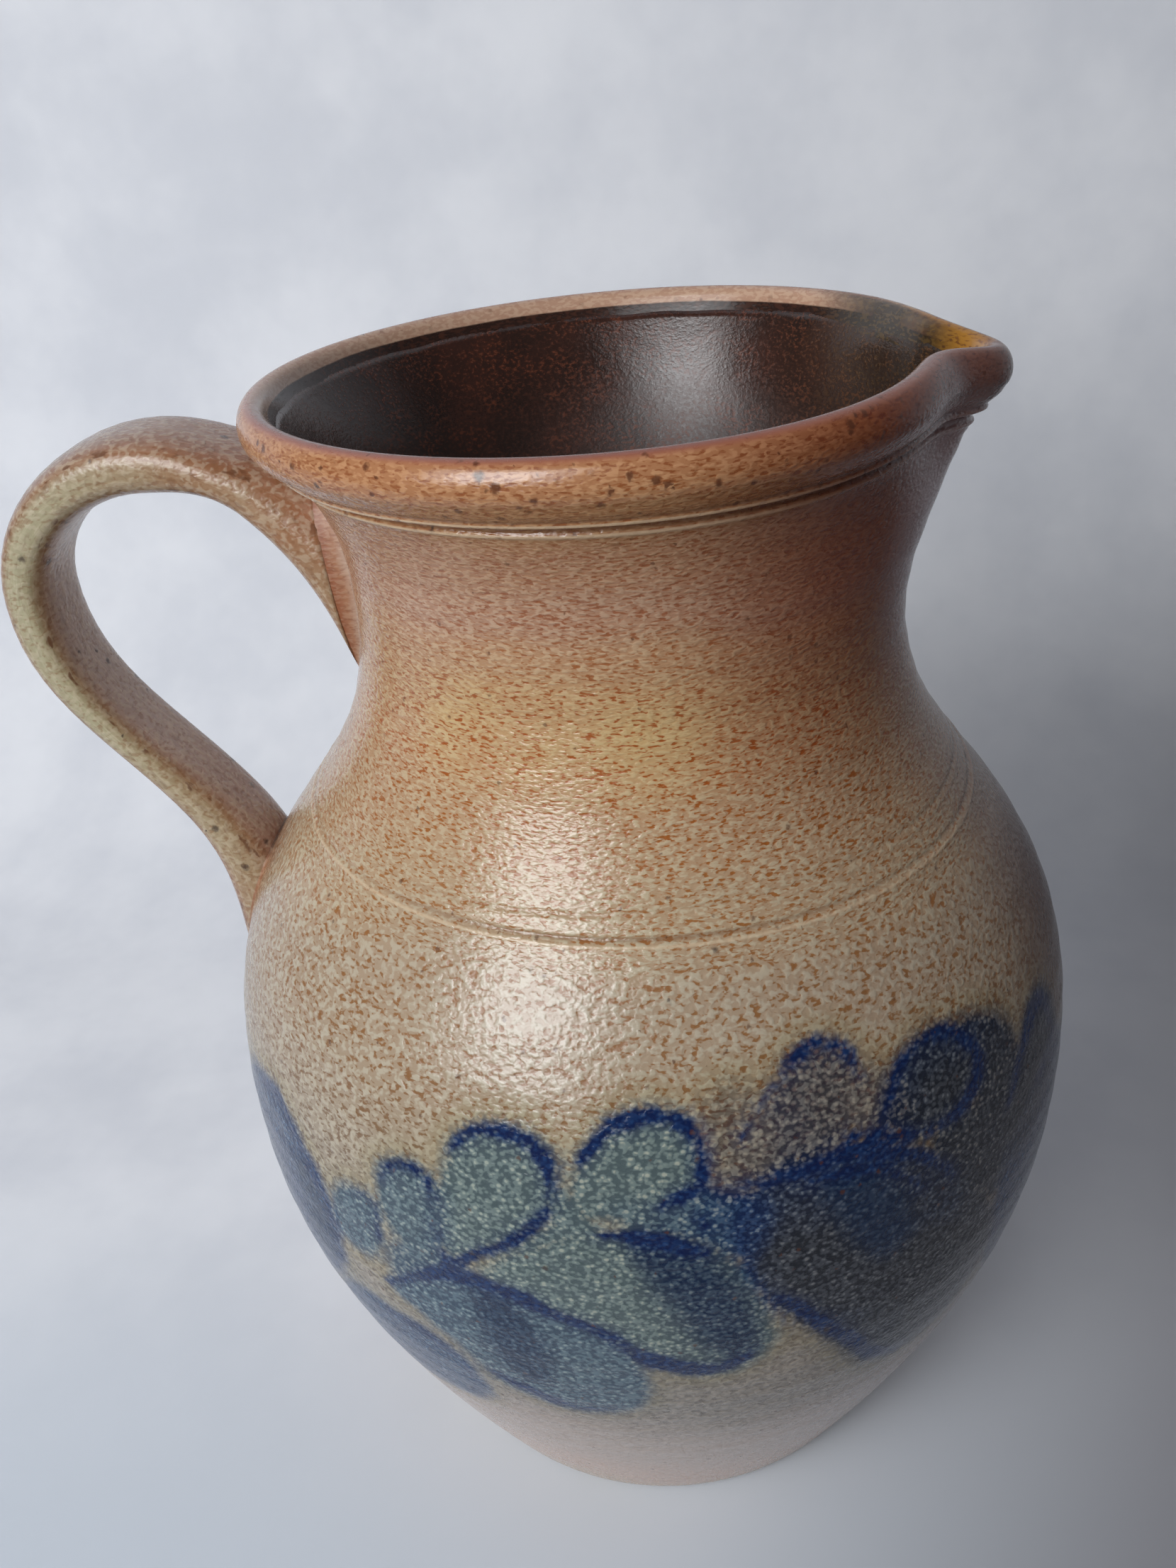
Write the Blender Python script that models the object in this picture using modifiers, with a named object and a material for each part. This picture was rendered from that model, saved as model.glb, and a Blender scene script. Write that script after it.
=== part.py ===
# Salt-glazed stoneware pitcher: a thrown body with a spout pulled from its rim, a pulled strap handle
# set on with slip at both ends, and a glaze lining. Metres, +Z up, the spout towards +X.
import math
from bisect import bisect_left

import bmesh
import bpy
from mathutils import Matrix, Vector
from mathutils.geometry import interpolate_bezier

# Outside of the body, in heights that add up from the base
FOOT_RADIUS = 0.051
FOOT_CHAMFER = 0.0016
BASE_TO_BELLY = 0.098
BELLY_RADIUS = 0.0844
BELLY_TO_NECK = 0.092
NECK_RADIUS = 0.0499
NECK_TO_COLLAR = 0.027
COLLAR_RADIUS = 0.0564
COLLAR_TO_RIM = 0.013

# Bend of that outline: leans from upright, and fullness as a share of the span beside it
FOOT_LEAN = math.radians(28)
COLLAR_FLARE = math.radians(26)
FOOT_FULLNESS = 0.62
LOWER_BELLY_FULLNESS = 0.264
UPPER_BELLY_FULLNESS = 0.56
SHOULDER_FULLNESS = 0.457
NECK_FULLNESS = 0.58
COLLAR_FULLNESS = 0.33

# Rim: a round bead on the collar, with a groove and a fine ridge under it
RIM_RADIUS = 0.0646
RIM_THICKNESS = 0.0054
BEAD_HEIGHT = 0.0074
BEAD_WRAP = math.radians(60)
RIDGE_PROUD = 0.0019
RIDGE_RISE = 0.0015
GROOVE_DEPTH = 0.0005

# Two lines cut round the shoulder, measured up from the belly
LINE_ABOVE_BELLY = 0.0547
LINE_SPACING = 0.0025
LINE_WIDTH = 0.0014
LINE_DEPTH = 0.0005

# Inside of the body
WALL = 0.0060
FLOOR_THICKNESS = 0.008
CORNER_THICKNESS = 0.012
CORNER_FULLNESS = 0.11

# Spout: pulled out at the middle, pinched in on both sides, fading out below the rim
SPOUT_PULL = 0.0109
SPOUT_SPREAD = math.radians(11)
PINCH_DEPTH = 0.0098
PINCH_SPREAD = math.radians(54)
SPOUT_REACH = 0.030
SPOUT_DIP = 0.0025
RIM_RISE = 0.0015

# Handle: heights down from the rim and up from the belly, and the room for a hand
ROOT_BELOW_RIM = 0.0115
ROOT_LENGTH = 0.0515
THROAT_STANDOFF = 0.0096
THROAT_THICKNESS = 0.0175
CROWN_STANDOFF = 0.0331
CROWN_BELOW_RIM = 0.0072
CROWN_THICKNESS = 0.0122
FINGER_DEPTH = 0.0575
REACH_BELOW_RIM = 0.039
REACH_THICKNESS = 0.0092
BEND_STANDOFF = 0.0476
BEND_BELOW_RIM = 0.078
BEND_THICKNESS = 0.0101
TAIL_ABOVE_BELLY = 0.008
TAIL_LENGTH = 0.032
ROOT_WIDTH = 0.031
THROAT_WIDTH = 0.027
CROWN_WIDTH = 0.024
REACH_WIDTH = 0.0205
BEND_WIDTH = 0.0195
TAIL_WIDTH = 0.025
HANDLE_EMBED = 0.005

# Headings of the handle's back and palm sides, from straight out with a rise positive
ROOT_HEADING = math.radians(4)
THROAT_HEADING = math.radians(8)
CROWN_HEADING = 0.0
REACH_HEADING = math.radians(-90)
BEND_HEADING = math.radians(-132)
TAIL_HEADING = math.radians(-93)
HEEL_HEADING = math.radians(72)
THROAT_PALM_HEADING = math.radians(50)
TAIL_PALM_HEADING = math.radians(-125)
EDGE_FULLNESS = 0.38

# Layers and clearances
SLIP_THICKNESS = 0.0007
SLIP_BEAD = 0.0012
GLAZE_THICKNESS = 0.0006
GAP = 0.0003

# Fineness of the faceted surfaces
TURN_STEPS = 56
SPOUT_CROWDING = 0.5
SPAN_POINTS = 8
INNER_POINTS = 6
COLLAR_POINTS = 3
STRAP_POINTS = 6
RING_POINTS = 18
SHARP_ANGLE = math.radians(40)
MERGE_DISTANCE = 0.00001

# Colour and roughness of each finish
FINISHES = {
    "salt_glazed_clay": ((0.45, 0.30, 0.17), 0.42),
    "handle_clay": ((0.36, 0.27, 0.16), 0.45),
    "slip": ((0.42, 0.27, 0.15), 0.50),
    "brown_liner": ((0.035, 0.015, 0.010), 0.22),
}

BELLY_Z = BASE_TO_BELLY
NECK_Z = BELLY_Z + BELLY_TO_NECK
COLLAR_Z = NECK_Z + NECK_TO_COLLAR
RIM_Z = COLLAR_Z + COLLAR_TO_RIM
ROOT_Z = RIM_Z - ROOT_BELOW_RIM
HEEL_Z = ROOT_Z - ROOT_LENGTH
TAIL_Z = BELLY_Z + TAIL_ABOVE_BELLY
TAIL_TOP_Z = TAIL_Z + TAIL_LENGTH


def at(radius, height):
    return Vector((radius, 0.0, height))


def heading(angle, length):
    return Vector((math.cos(angle) * length, 0.0, math.sin(angle) * length))


def bezier_span(start, start_pull, end_pull, end, count):
    return interpolate_bezier(start, start + start_pull, end + end_pull, end, count + 1)


def joined(*spans):
    line = list(spans[0])
    for span in spans[1:]:
        line += span[1:]
    return line


# The outline from the collar down to the foot
def outer_curve(count):
    upright = at(0.0, 1.0)
    collar, neck = at(COLLAR_RADIUS, COLLAR_Z), at(NECK_RADIUS, NECK_Z)
    belly, foot = at(BELLY_RADIUS, BELLY_Z), at(FOOT_RADIUS, 0.0)
    flare = heading(math.pi / 2 - COLLAR_FLARE, -COLLAR_FULLNESS * NECK_TO_COLLAR)
    lean = heading(math.pi / 2 - FOOT_LEAN, FOOT_FULLNESS * BASE_TO_BELLY)
    return joined(
        bezier_span(collar, flare, upright * NECK_FULLNESS * NECK_TO_COLLAR, neck, count),
        bezier_span(
            neck,
            upright * -SHOULDER_FULLNESS * BELLY_TO_NECK,
            upright * UPPER_BELLY_FULLNESS * BELLY_TO_NECK,
            belly,
            count,
        ),
        bezier_span(belly, upright * -LOWER_BELLY_FULLNESS * BASE_TO_BELLY, lean, foot, count),
    )


FINE_OUTLINE = outer_curve(SPAN_POINTS * 8)[::-1]
FINE_HEIGHTS = [point.z for point in FINE_OUTLINE]


def radius_at(height):
    above = min(max(bisect_left(FINE_HEIGHTS, height), 1), len(FINE_OUTLINE) - 1)
    low, high = FINE_OUTLINE[above - 1], FINE_OUTLINE[above]
    share = (height - low.z) / (high.z - low.z)
    return low.x + (high.x - low.x) * share


# The bead, from the inside of the mouth over the top and down its outer side
def bead_curve():
    centre = at(RIM_RADIUS - RIM_THICKNESS / 2, RIM_Z - BEAD_HEIGHT / 2)
    sweep = math.pi + BEAD_WRAP
    points = []
    for step in range(SPAN_POINTS + 1):
        angle = math.pi - sweep * step / SPAN_POINTS
        across = RIM_THICKNESS / 2 * math.cos(angle)
        points.append(centre + at(across, BEAD_HEIGHT / 2 * math.sin(angle)))
    return points


def ridge_point():
    return at(COLLAR_RADIUS + RIDGE_PROUD, COLLAR_Z + RIDGE_RISE)


def groove_point():
    ridge = ridge_point()
    return at(ridge.x - GROOVE_DEPTH, (ridge.z + bead_curve()[-1].z) / 2)


# The outside with the two cut lines worked in, from the collar down to the base
def body_side():
    side = outer_curve(SPAN_POINTS)
    for line in range(2):
        middle = BELLY_Z + LINE_ABOVE_BELLY + line * LINE_SPACING
        side = [point for point in side if abs(point.z - middle) > LINE_WIDTH]
        for offset, depth in ((0.5, 0.0), (0.0, LINE_DEPTH), (-0.5, 0.0)):
            height = middle + offset * LINE_WIDTH
            side.append(at(radius_at(height) - depth, height))
    side.sort(key=lambda point: -point.z)
    side[-1] = at(radius_at(FOOT_CHAMFER), FOOT_CHAMFER)
    return side + [at(FOOT_RADIUS - FOOT_CHAMFER, 0.0)]


# The inside, a wall's thickness in from the outside, from the edge of the floor up to the mouth
def inner_curve():
    upright = at(0.0, 1.0)
    floor = at(FOOT_RADIUS - CORNER_THICKNESS, FLOOR_THICKNESS)
    belly, neck = at(BELLY_RADIUS - WALL, BELLY_Z), at(NECK_RADIUS - WALL, NECK_Z)
    collar, mouth = at(COLLAR_RADIUS - WALL, COLLAR_Z), bead_curve()[0]
    flare = heading(math.pi / 2 - COLLAR_FLARE, COLLAR_FULLNESS * NECK_TO_COLLAR)
    lip_pull = COLLAR_FULLNESS * (mouth - collar).length
    lip_flare = heading(math.pi / 2 - COLLAR_FLARE, lip_pull)
    return joined(
        bezier_span(
            floor,
            at(CORNER_FULLNESS * BASE_TO_BELLY, 0.0),
            upright * -LOWER_BELLY_FULLNESS * BASE_TO_BELLY,
            belly,
            INNER_POINTS,
        ),
        bezier_span(
            belly,
            upright * UPPER_BELLY_FULLNESS * BELLY_TO_NECK,
            upright * -SHOULDER_FULLNESS * BELLY_TO_NECK,
            neck,
            INNER_POINTS,
        ),
        bezier_span(neck, upright * NECK_FULLNESS * NECK_TO_COLLAR, -flare, collar, INNER_POINTS),
        bezier_span(collar, lip_flare, upright * -lip_pull, mouth, COLLAR_POINTS),
    )


# A line moved sideways by a distance, to the right of the way it runs
def moved(line, distance):
    result = []
    for index, point in enumerate(line):
        before = line[max(index - 1, 0)]
        after = line[min(index + 1, len(line) - 1)]
        along = (after - before).normalized()
        result.append(point + Vector((along.z, 0.0, -along.x)) * distance)
    return result


# Steps of the turned surface drawn together round the spout, where the shape is tightest
def crowded(point):
    turn = math.atan2(point.y, point.x)
    return Matrix.Rotation(-SPOUT_CROWDING * math.sin(turn), 3, "Z") @ point


# What a potter's fingers do to the turned rim: pull the spout, pinch beside it, lift that side
def finger_shaped(point):
    share = min(max((point.z - RIM_Z + SPOUT_REACH) / SPOUT_REACH, 0.0), 1.0)
    weight = share * share * (3 - 2 * share)
    radius = math.hypot(point.x, point.y)
    if weight == 0.0 or radius == 0.0:
        return point
    turn = math.atan2(point.y, point.x)
    pull = math.exp(-((turn / SPOUT_SPREAD) ** 2))
    pinch = math.exp(-((turn / PINCH_SPREAD) ** 2))
    scale = 1 + weight * (SPOUT_PULL * pull - PINCH_DEPTH * pinch) / radius
    lift = weight * (RIM_RISE * point.x / RIM_RADIUS - SPOUT_DIP * pull)
    return Vector((point.x * scale, point.y * scale, point.z + lift))


def finish_material(name):
    colour, roughness = FINISHES[name]
    material = bpy.data.materials.new(name)
    material.use_nodes = True
    shader = material.node_tree.nodes["Principled BSDF"]
    shader.inputs["Base Color"].default_value = (*colour, 1.0)
    shader.inputs["Roughness"].default_value = roughness
    shader.inputs["Metallic"].default_value = 0.0
    return material


def evaluated_mesh(item):
    bpy.context.view_layer.update()
    graph = bpy.context.evaluated_depsgraph_get()
    return bpy.data.meshes.new_from_object(item.evaluated_get(graph))


def new_object(name, mesh, home):
    item = bpy.data.objects.new(name, mesh)
    home.objects.link(item)
    return item


# A profile turned about +Z with a Screw modifier, then shaped by the fingers
def turned(name, profile, closed, home):
    count = len(profile)
    edges = [(index, index + 1) for index in range(count - 1)]
    if closed:
        edges.append((count - 1, 0))
    sketch = bpy.data.meshes.new(name + "_profile")
    sketch.from_pydata(profile, edges, [])
    wheel = new_object(name + "_profile", sketch, home)
    screw = wheel.modifiers.new("Screw", "SCREW")
    screw.axis = "Z"
    screw.steps = screw.render_steps = TURN_STEPS
    screw.use_merge_vertices = True
    screw.merge_threshold = MERGE_DISTANCE
    mesh = evaluated_mesh(wheel)
    mesh.name = name
    bpy.data.objects.remove(wheel)
    for vertex in mesh.vertices:
        vertex.co = finger_shaped(crowded(vertex.co))
    return new_object(name, mesh, home)


# Stations of the handle's back and palm sides, each a point and the heading there
def handle_edges():
    crown = at(NECK_RADIUS + CROWN_STANDOFF, RIM_Z - CROWN_BELOW_RIM)
    throat = at(COLLAR_RADIUS + THROAT_STANDOFF, (ROOT_Z + crown.z) / 2)
    reach = at(NECK_RADIUS + FINGER_DEPTH + REACH_THICKNESS, RIM_Z - REACH_BELOW_RIM)
    bend = at(NECK_RADIUS + BEND_STANDOFF, RIM_Z - BEND_BELOW_RIM)
    across = math.pi / 2
    back = [
        (at(NECK_RADIUS - HANDLE_EMBED, ROOT_Z), ROOT_HEADING),
        (throat, THROAT_HEADING),
        (crown, CROWN_HEADING),
        (reach, REACH_HEADING),
        (bend, BEND_HEADING),
        (at(radius_at(TAIL_Z), TAIL_Z), TAIL_HEADING),
    ]
    palm = [
        (at(radius_at(HEEL_Z) - HANDLE_EMBED, HEEL_Z), HEEL_HEADING),
        (throat - heading(THROAT_HEADING + across, THROAT_THICKNESS), THROAT_PALM_HEADING),
        (crown - heading(CROWN_HEADING + across, CROWN_THICKNESS), CROWN_HEADING),
        (reach - heading(REACH_HEADING + across, REACH_THICKNESS), REACH_HEADING),
        (bend - heading(BEND_HEADING + across, BEND_THICKNESS), BEND_HEADING),
        (at(radius_at(TAIL_TOP_Z) - HANDLE_EMBED, TAIL_TOP_Z), TAIL_PALM_HEADING),
    ]
    return back, palm


def smooth_edge(stations):
    spans = []
    for (start, start_heading), (end, end_heading) in zip(stations, stations[1:]):
        pull = EDGE_FULLNESS * (end - start).length
        leave, arrive = heading(start_heading, pull), heading(end_heading, -pull)
        spans.append(bezier_span(start, leave, arrive, end, STRAP_POINTS))
    return joined(*spans)


# The strap: oval rings between its back and its palm side, bridged into one skin, towards -X
def strap(name, grow, home):
    back, palm = handle_edges()
    widths = (ROOT_WIDTH, THROAT_WIDTH, CROWN_WIDTH, REACH_WIDTH, BEND_WIDTH, TAIL_WIDTH)
    form = bmesh.new()
    rings = []
    for index, (outside, inside) in enumerate(zip(smooth_edge(back), smooth_edge(palm))):
        span, step = divmod(index, STRAP_POINTS)
        following = widths[min(span + 1, len(widths) - 1)]
        width = widths[span] + (following - widths[span]) * step / STRAP_POINTS
        across = outside - inside
        half = across.length / 2 + grow
        up = across.normalized()
        middle = (outside + inside) / 2
        place = Matrix(
            (
                (0.0, -up.x * half, 0.0, -middle.x),
                (width / 2 + grow, 0.0, 0.0, 0.0),
                (0.0, up.z * half, 0.0, middle.z),
                (0.0, 0.0, 0.0, 1.0),
            )
        )
        ring = bmesh.ops.create_circle(form, segments=RING_POINTS, radius=1.0)["verts"]
        bmesh.ops.transform(form, matrix=place, verts=ring)
        rings.append(list({edge for vertex in ring for edge in vertex.link_edges}))
    for first, second in zip(rings, rings[1:]):
        bmesh.ops.bridge_loops(form, edges=first + second)
    for end in (rings[0], rings[-1]):
        bmesh.ops.edgeloop_fill(form, edges=end)
    bmesh.ops.recalc_face_normals(form, faces=form.faces)
    mesh = bpy.data.meshes.new(name)
    form.to_mesh(mesh)
    form.free()
    return new_object(name, mesh, home)


def cut(item, tool, operation):
    modifier = item.modifiers.new(operation.title(), "BOOLEAN")
    modifier.operation = operation
    modifier.object = tool
    tool.hide_render = True
    tool.display_type = "WIRE"


def finish(item, material, parent):
    item.data.materials.clear()
    item.data.materials.append(material)
    item.data.shade_smooth()
    item.data.set_sharp_from_angle(angle=SHARP_ANGLE)
    item.parent = parent


# The outside that the handle's ends are set on: the side, with the rim's groove bridged over
def seat_curve(low, high):
    side = [point for point in outer_curve(SPAN_POINTS) if low <= point.z <= high]
    if high > COLLAR_Z:
        return bead_curve()[-2:] + [ridge_point()] + side
    return side


def thrown_body(home):
    profile = [at(0.0, FLOOR_THICKNESS)] + inner_curve() + bead_curve()[1:]
    profile += [groove_point(), ridge_point()] + body_side() + [at(0.0, 0.0)]
    return turned("thrown_body", profile, False, home)


# The lining covers the floor and the wall up to the bead
def liner_glaze(home):
    coated = [at(0.0, FLOOR_THICKNESS)] + inner_curve()
    back = moved(coated, -GAP)
    face = moved(coated, -GAP - GLAZE_THICKNESS)
    back[0].x = face[0].x = 0.0
    return turned("liner_glaze", face + back[::-1], False, home)


def pulled_handle(home, tools):
    clearance = 2 * GAP + SLIP_THICKNESS
    solid = [at(0.0, RIM_Z)] + moved(seat_curve(0.0, RIM_Z), -clearance) + [at(0.0, 0.0)]
    handle = strap("pulled_handle", 0.0, home)
    cut(handle, turned("body_space", solid, False, tools), "DIFFERENCE")
    return handle


# A layer of slip on the body, as wide as the handle's end with a bead of slip round it
def slip_layer(name, low, high, handle_and_bead, home):
    seat = seat_curve(low, high)
    outside, inside = moved(seat, -GAP - SLIP_THICKNESS), moved(seat, -GAP)
    layer = turned(name, outside + inside[::-1], True, home)
    cut(layer, handle_and_bead, "INTERSECT")
    return layer


def new_collection(name):
    collection = bpy.data.collections.new(name)
    bpy.context.scene.collection.children.link(collection)
    return collection


def build():
    for item in list(bpy.data.objects):
        bpy.data.objects.remove(item)
    parts, tools = new_collection("stoneware_pitcher"), new_collection("cutters")
    root = new_object("pitcher_origin", None, parts)
    handle_and_bead = strap("handle_and_bead", SLIP_BEAD, tools)
    upper_low = HEEL_Z - HANDLE_EMBED
    lower_low, lower_high = TAIL_Z - TAIL_LENGTH, TAIL_TOP_Z + TAIL_LENGTH
    slip = finish_material("slip")
    finish(thrown_body(parts), finish_material("salt_glazed_clay"), root)
    finish(liner_glaze(parts), finish_material("brown_liner"), root)
    finish(pulled_handle(parts, tools), finish_material("handle_clay"), root)
    finish(slip_layer("upper_slip_joint", upper_low, RIM_Z, handle_and_bead, parts), slip, root)
    finish(slip_layer("lower_slip_joint", lower_low, lower_high, handle_and_bead, parts), slip, root)


build()
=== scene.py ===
import math

import bmesh
import bpy
import numpy as np
from mathutils import Matrix, Vector
from mathutils.geometry import interpolate_bezier


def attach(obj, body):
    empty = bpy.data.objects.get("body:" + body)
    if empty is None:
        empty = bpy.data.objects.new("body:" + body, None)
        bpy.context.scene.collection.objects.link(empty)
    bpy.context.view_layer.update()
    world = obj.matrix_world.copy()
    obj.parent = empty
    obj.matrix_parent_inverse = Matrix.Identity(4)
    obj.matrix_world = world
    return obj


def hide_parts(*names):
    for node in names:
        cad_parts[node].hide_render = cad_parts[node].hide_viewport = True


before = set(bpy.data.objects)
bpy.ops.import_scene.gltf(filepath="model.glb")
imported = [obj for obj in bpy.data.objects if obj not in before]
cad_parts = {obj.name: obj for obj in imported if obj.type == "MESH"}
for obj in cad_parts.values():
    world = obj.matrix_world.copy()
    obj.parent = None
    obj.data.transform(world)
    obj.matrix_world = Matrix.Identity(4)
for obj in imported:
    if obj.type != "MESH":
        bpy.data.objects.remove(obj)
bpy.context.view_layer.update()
scene = bpy.context.scene
scene.view_settings.view_transform = "Standard"
print("frame loaded:", ", ".join(sorted(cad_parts)))

camera = {
    "place": (0.01724, -0.24653, 0.28185),
    "turn": (61.2981, 3.6403, 4.3244),  # degrees, XYZ
    "lens": 43.4,                       # mm on a 36 mm wide sensor
}
lens = bpy.data.cameras.new("photoLens")
lens.sensor_fit = "HORIZONTAL"
lens.sensor_width = 36
lens.lens = camera["lens"]
lens.clip_start = 0.01
photoCamera = bpy.data.objects.new("photoCamera", lens)
photoCamera.location = camera["place"]
photoCamera.rotation_euler = [math.radians(a) for a in camera["turn"]]
scene.collection.objects.link(photoCamera)
scene.camera = photoCamera


def smoothShare(low, high, value):
    share = np.clip((value - low) / (high - low), 0.0, 1.0)
    return share * share * (3 - 2 * share)


def at(radius, height):
    return Vector((radius, 0.0, height))


def heading(degrees, length):  # out along +X, a rise positive
    angle = math.radians(degrees)
    return Vector((math.cos(angle) * length, 0.0, math.sin(angle) * length))


def bezierSpan(start, startPull, endPull, end, count):
    return interpolate_bezier(start, start + startPull, end + endPull, end, count + 1)


def meshFrom(name, bm, outward=True):
    if outward:
        bmesh.ops.recalc_face_normals(bm, faces=bm.faces)
    mesh = bpy.data.meshes.new(name)
    bm.to_mesh(mesh)
    bm.free()
    return mesh


def newPiece(name, mesh, material):
    piece = bpy.data.objects.new(name, mesh)
    scene.collection.objects.link(piece)
    mesh.materials.append(material)
    mesh.polygons.foreach_set("use_smooth", [True] * len(mesh.polygons))
    return piece


def placePiece(name, mesh, material, slot, *nodes):
    piece = newPiece(name, mesh, material)
    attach(piece, "root")
    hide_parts(*nodes)
    print(name, len(mesh.polygons), "faces")


def meshPoints(mesh):
    flat = np.empty(len(mesh.vertices) * 3)
    mesh.vertices.foreach_get("co", flat)
    return flat.reshape(-1, 3)


def putPoints(mesh, points):
    mesh.vertices.foreach_set("co", points.ravel())
    mesh.update()


def putValues(mesh, name, values):  # a number or a vector for every point
    values = np.asarray(values, dtype=np.float32)
    kind, field = ("FLOAT", "value") if values.ndim == 1 else ("FLOAT_VECTOR", "vector")
    mesh.attributes.new(name, kind, "POINT").data.foreach_set(field, values.ravel())


def spinProfile(bm, profile, steps):  # profile of (radius, height)
    verts = [bm.verts.new((r, 0.0, z)) for r, z in profile]
    edges = [bm.edges.new(pair) for pair in zip(verts, verts[1:])]
    sector = math.tau / 8  # an eighth is spun, then doubled three times
    bmesh.ops.spin(bm, geom=verts + edges, cent=(0, 0, 0), axis=(0, 0, 1), angle=sector, steps=steps // 8)
    for doubling in range(3):
        copies = bmesh.ops.duplicate(bm, geom=bm.verts[:] + bm.edges[:] + bm.faces[:])["geom"]
        copied = [v for v in copies if isinstance(v, bmesh.types.BMVert)]
        turned = Matrix.Rotation(sector * 2 ** doubling, 3, "Z")
        bmesh.ops.rotate(bm, verts=copied, cent=(0, 0, 0), matrix=turned)
    bmesh.ops.remove_doubles(bm, verts=bm.verts, dist=1e-6)


pot = {
    "foot": (0.0510, 0.0), "footChamfer": 0.0016, "footLean": 28, "footPull": 0.0608,
    "belly": (0.0844, 0.098), "bellyPullDown": 0.0259, "bellyPullUp": 0.0515,
    "neck": (0.0499, 0.190), "neckPullDown": 0.0420, "neckPullUp": 0.0157,
    "collar": (0.0564, 0.217), "collarFlare": 26, "collarPull": 0.0089,
    "rim": (0.0646, 0.230), "beadWide": 0.0054, "beadHigh": 0.0074, "beadWrap": 60,
    "wall": 0.0060, "floor": (0.039, 0.008), "floorRing": 0.020, "cornerPull": 0.0108,
    "lipFrom": 144, "lipPull": 0.0220, "lipLow": 0.2228, "innerNeckPull": 0.0060,
    "sideStep": 0.0014, "lineStep": 0.00023, "steps": 352, "skin": 0.002,
    "spanSteps": 120, "collarSteps": 40, "beadSteps": 28, "innerSteps": 14,
    "cutLines": ((0.1527, 0.00034, 0.00045), (0.1556, 0.00016, 0.00040)),  # height, depth, half width
    "cutDrift": (0.00035, 0.0009), "cutPress": 0.35,  # how far they wander, and the tool's uneven press
    "burr": (1.9, 0.75, 0.38),  # half widths below the line, its own width in them, share of the depth
    "fineRidges": ((0.2145, 0.00010), (0.2124, 0.00006)), "ridgeHalf": 0.0004,  # height, how proud
    "wheelRings": 0.00006, "wheelRingPitch": 0.0068,
}
spout = {
    "pull": 0.0109, "spread": 11, "pinch": 0.0098, "pinchSpread": 54, "farPinch": 0.80,
    "reach": 0.030, "dip": 0.0025, "rimRise": 0.0015, "crowding": 0.5,
    # the neck drawn out under it
    "throat": 0.0040, "throatAt": 0.2085, "throatHalf": 0.0140, "throatSpread": 28,
}


def sideCurve():
    foot, belly, neck, collar = (at(*pot[k]) for k in ("foot", "belly", "neck", "collar"))
    up = at(0.0, 1.0)
    lean = heading(90 - pot["footLean"], pot["footPull"])
    flare = heading(90 - pot["collarFlare"], -pot["collarPull"])
    line = bezierSpan(foot, lean, up * -pot["bellyPullDown"], belly, pot["spanSteps"])
    line += bezierSpan(belly, up * pot["bellyPullUp"], up * -pot["neckPullDown"], neck, pot["spanSteps"])[1:]
    line += bezierSpan(neck, up * pot["neckPullUp"], flare, collar, pot["collarSteps"])[1:]
    return np.array([(p.x, p.z) for p in line])


sideLine = sideCurve()


def sideRadius(height):
    return np.interp(height, sideLine[:, 1], sideLine[:, 0])


beadCentre = (pot["rim"][0] - pot["beadWide"] / 2, pot["rim"][1] - pot["beadHigh"] / 2)


def beadPoint(degrees):
    angle = math.radians(degrees)
    return (
        beadCentre[0] + pot["beadWide"] / 2 * math.cos(angle),
        beadCentre[1] + pot["beadHigh"] / 2 * math.sin(angle),
    )


underRim = (  # mm, from the neck up to the bead: two fine ridges with grooves over them
    (56.05, 215.9), (56.30, 216.3), (56.70, 216.65), (57.08, 216.9), (57.25, 217.15), (57.20, 217.4),
    (57.02, 217.65), (56.98, 218.0), (57.12, 218.35), (57.6, 218.65), (58.4, 218.85), (59.2, 219.05),
    (59.75, 219.3), (59.9, 219.6), (59.85, 219.95), (60.05, 220.3), (60.7, 220.75), (61.6, 221.35),
    (62.4, 222.0),
)
# along underRim and two points more: 1 is bare and pale with a painted highlight, -1 a brown groove with
# painted shade
ridgeGlazeAndShading = (0, 0.2, 0.6, 1, 1, 0.5, -0.6, -1, -0.9, -0.5, 0, 0.4, 1, 1, -0.6, -1, -0.4, 0, 0, 0, 0)


def innerCurve(count):  # a wall's thickness in from the outside, from the floor's edge up to the lip
    floor, lip = at(*pot["floor"]), at(*beadPoint(pot["lipFrom"]))
    belly, neck = (at(pot[k][0] - pot["wall"], pot[k][1]) for k in ("belly", "neck"))
    up, turn = at(0.0, 1.0), math.radians(pot["lipFrom"])
    flare = at(pot["beadWide"] * math.sin(turn), -pot["beadHigh"] * math.cos(turn)).normalized()
    line = bezierSpan(floor, at(pot["cornerPull"], 0.0), up * -pot["bellyPullDown"], belly, count)
    line += bezierSpan(belly, up * pot["bellyPullUp"], up * -pot["neckPullDown"], neck, count)[1:]
    line += bezierSpan(neck, up * pot["innerNeckPull"], flare * -pot["lipPull"], lip, count)[1:]
    return [(p.x, p.z) for p in line]


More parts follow.
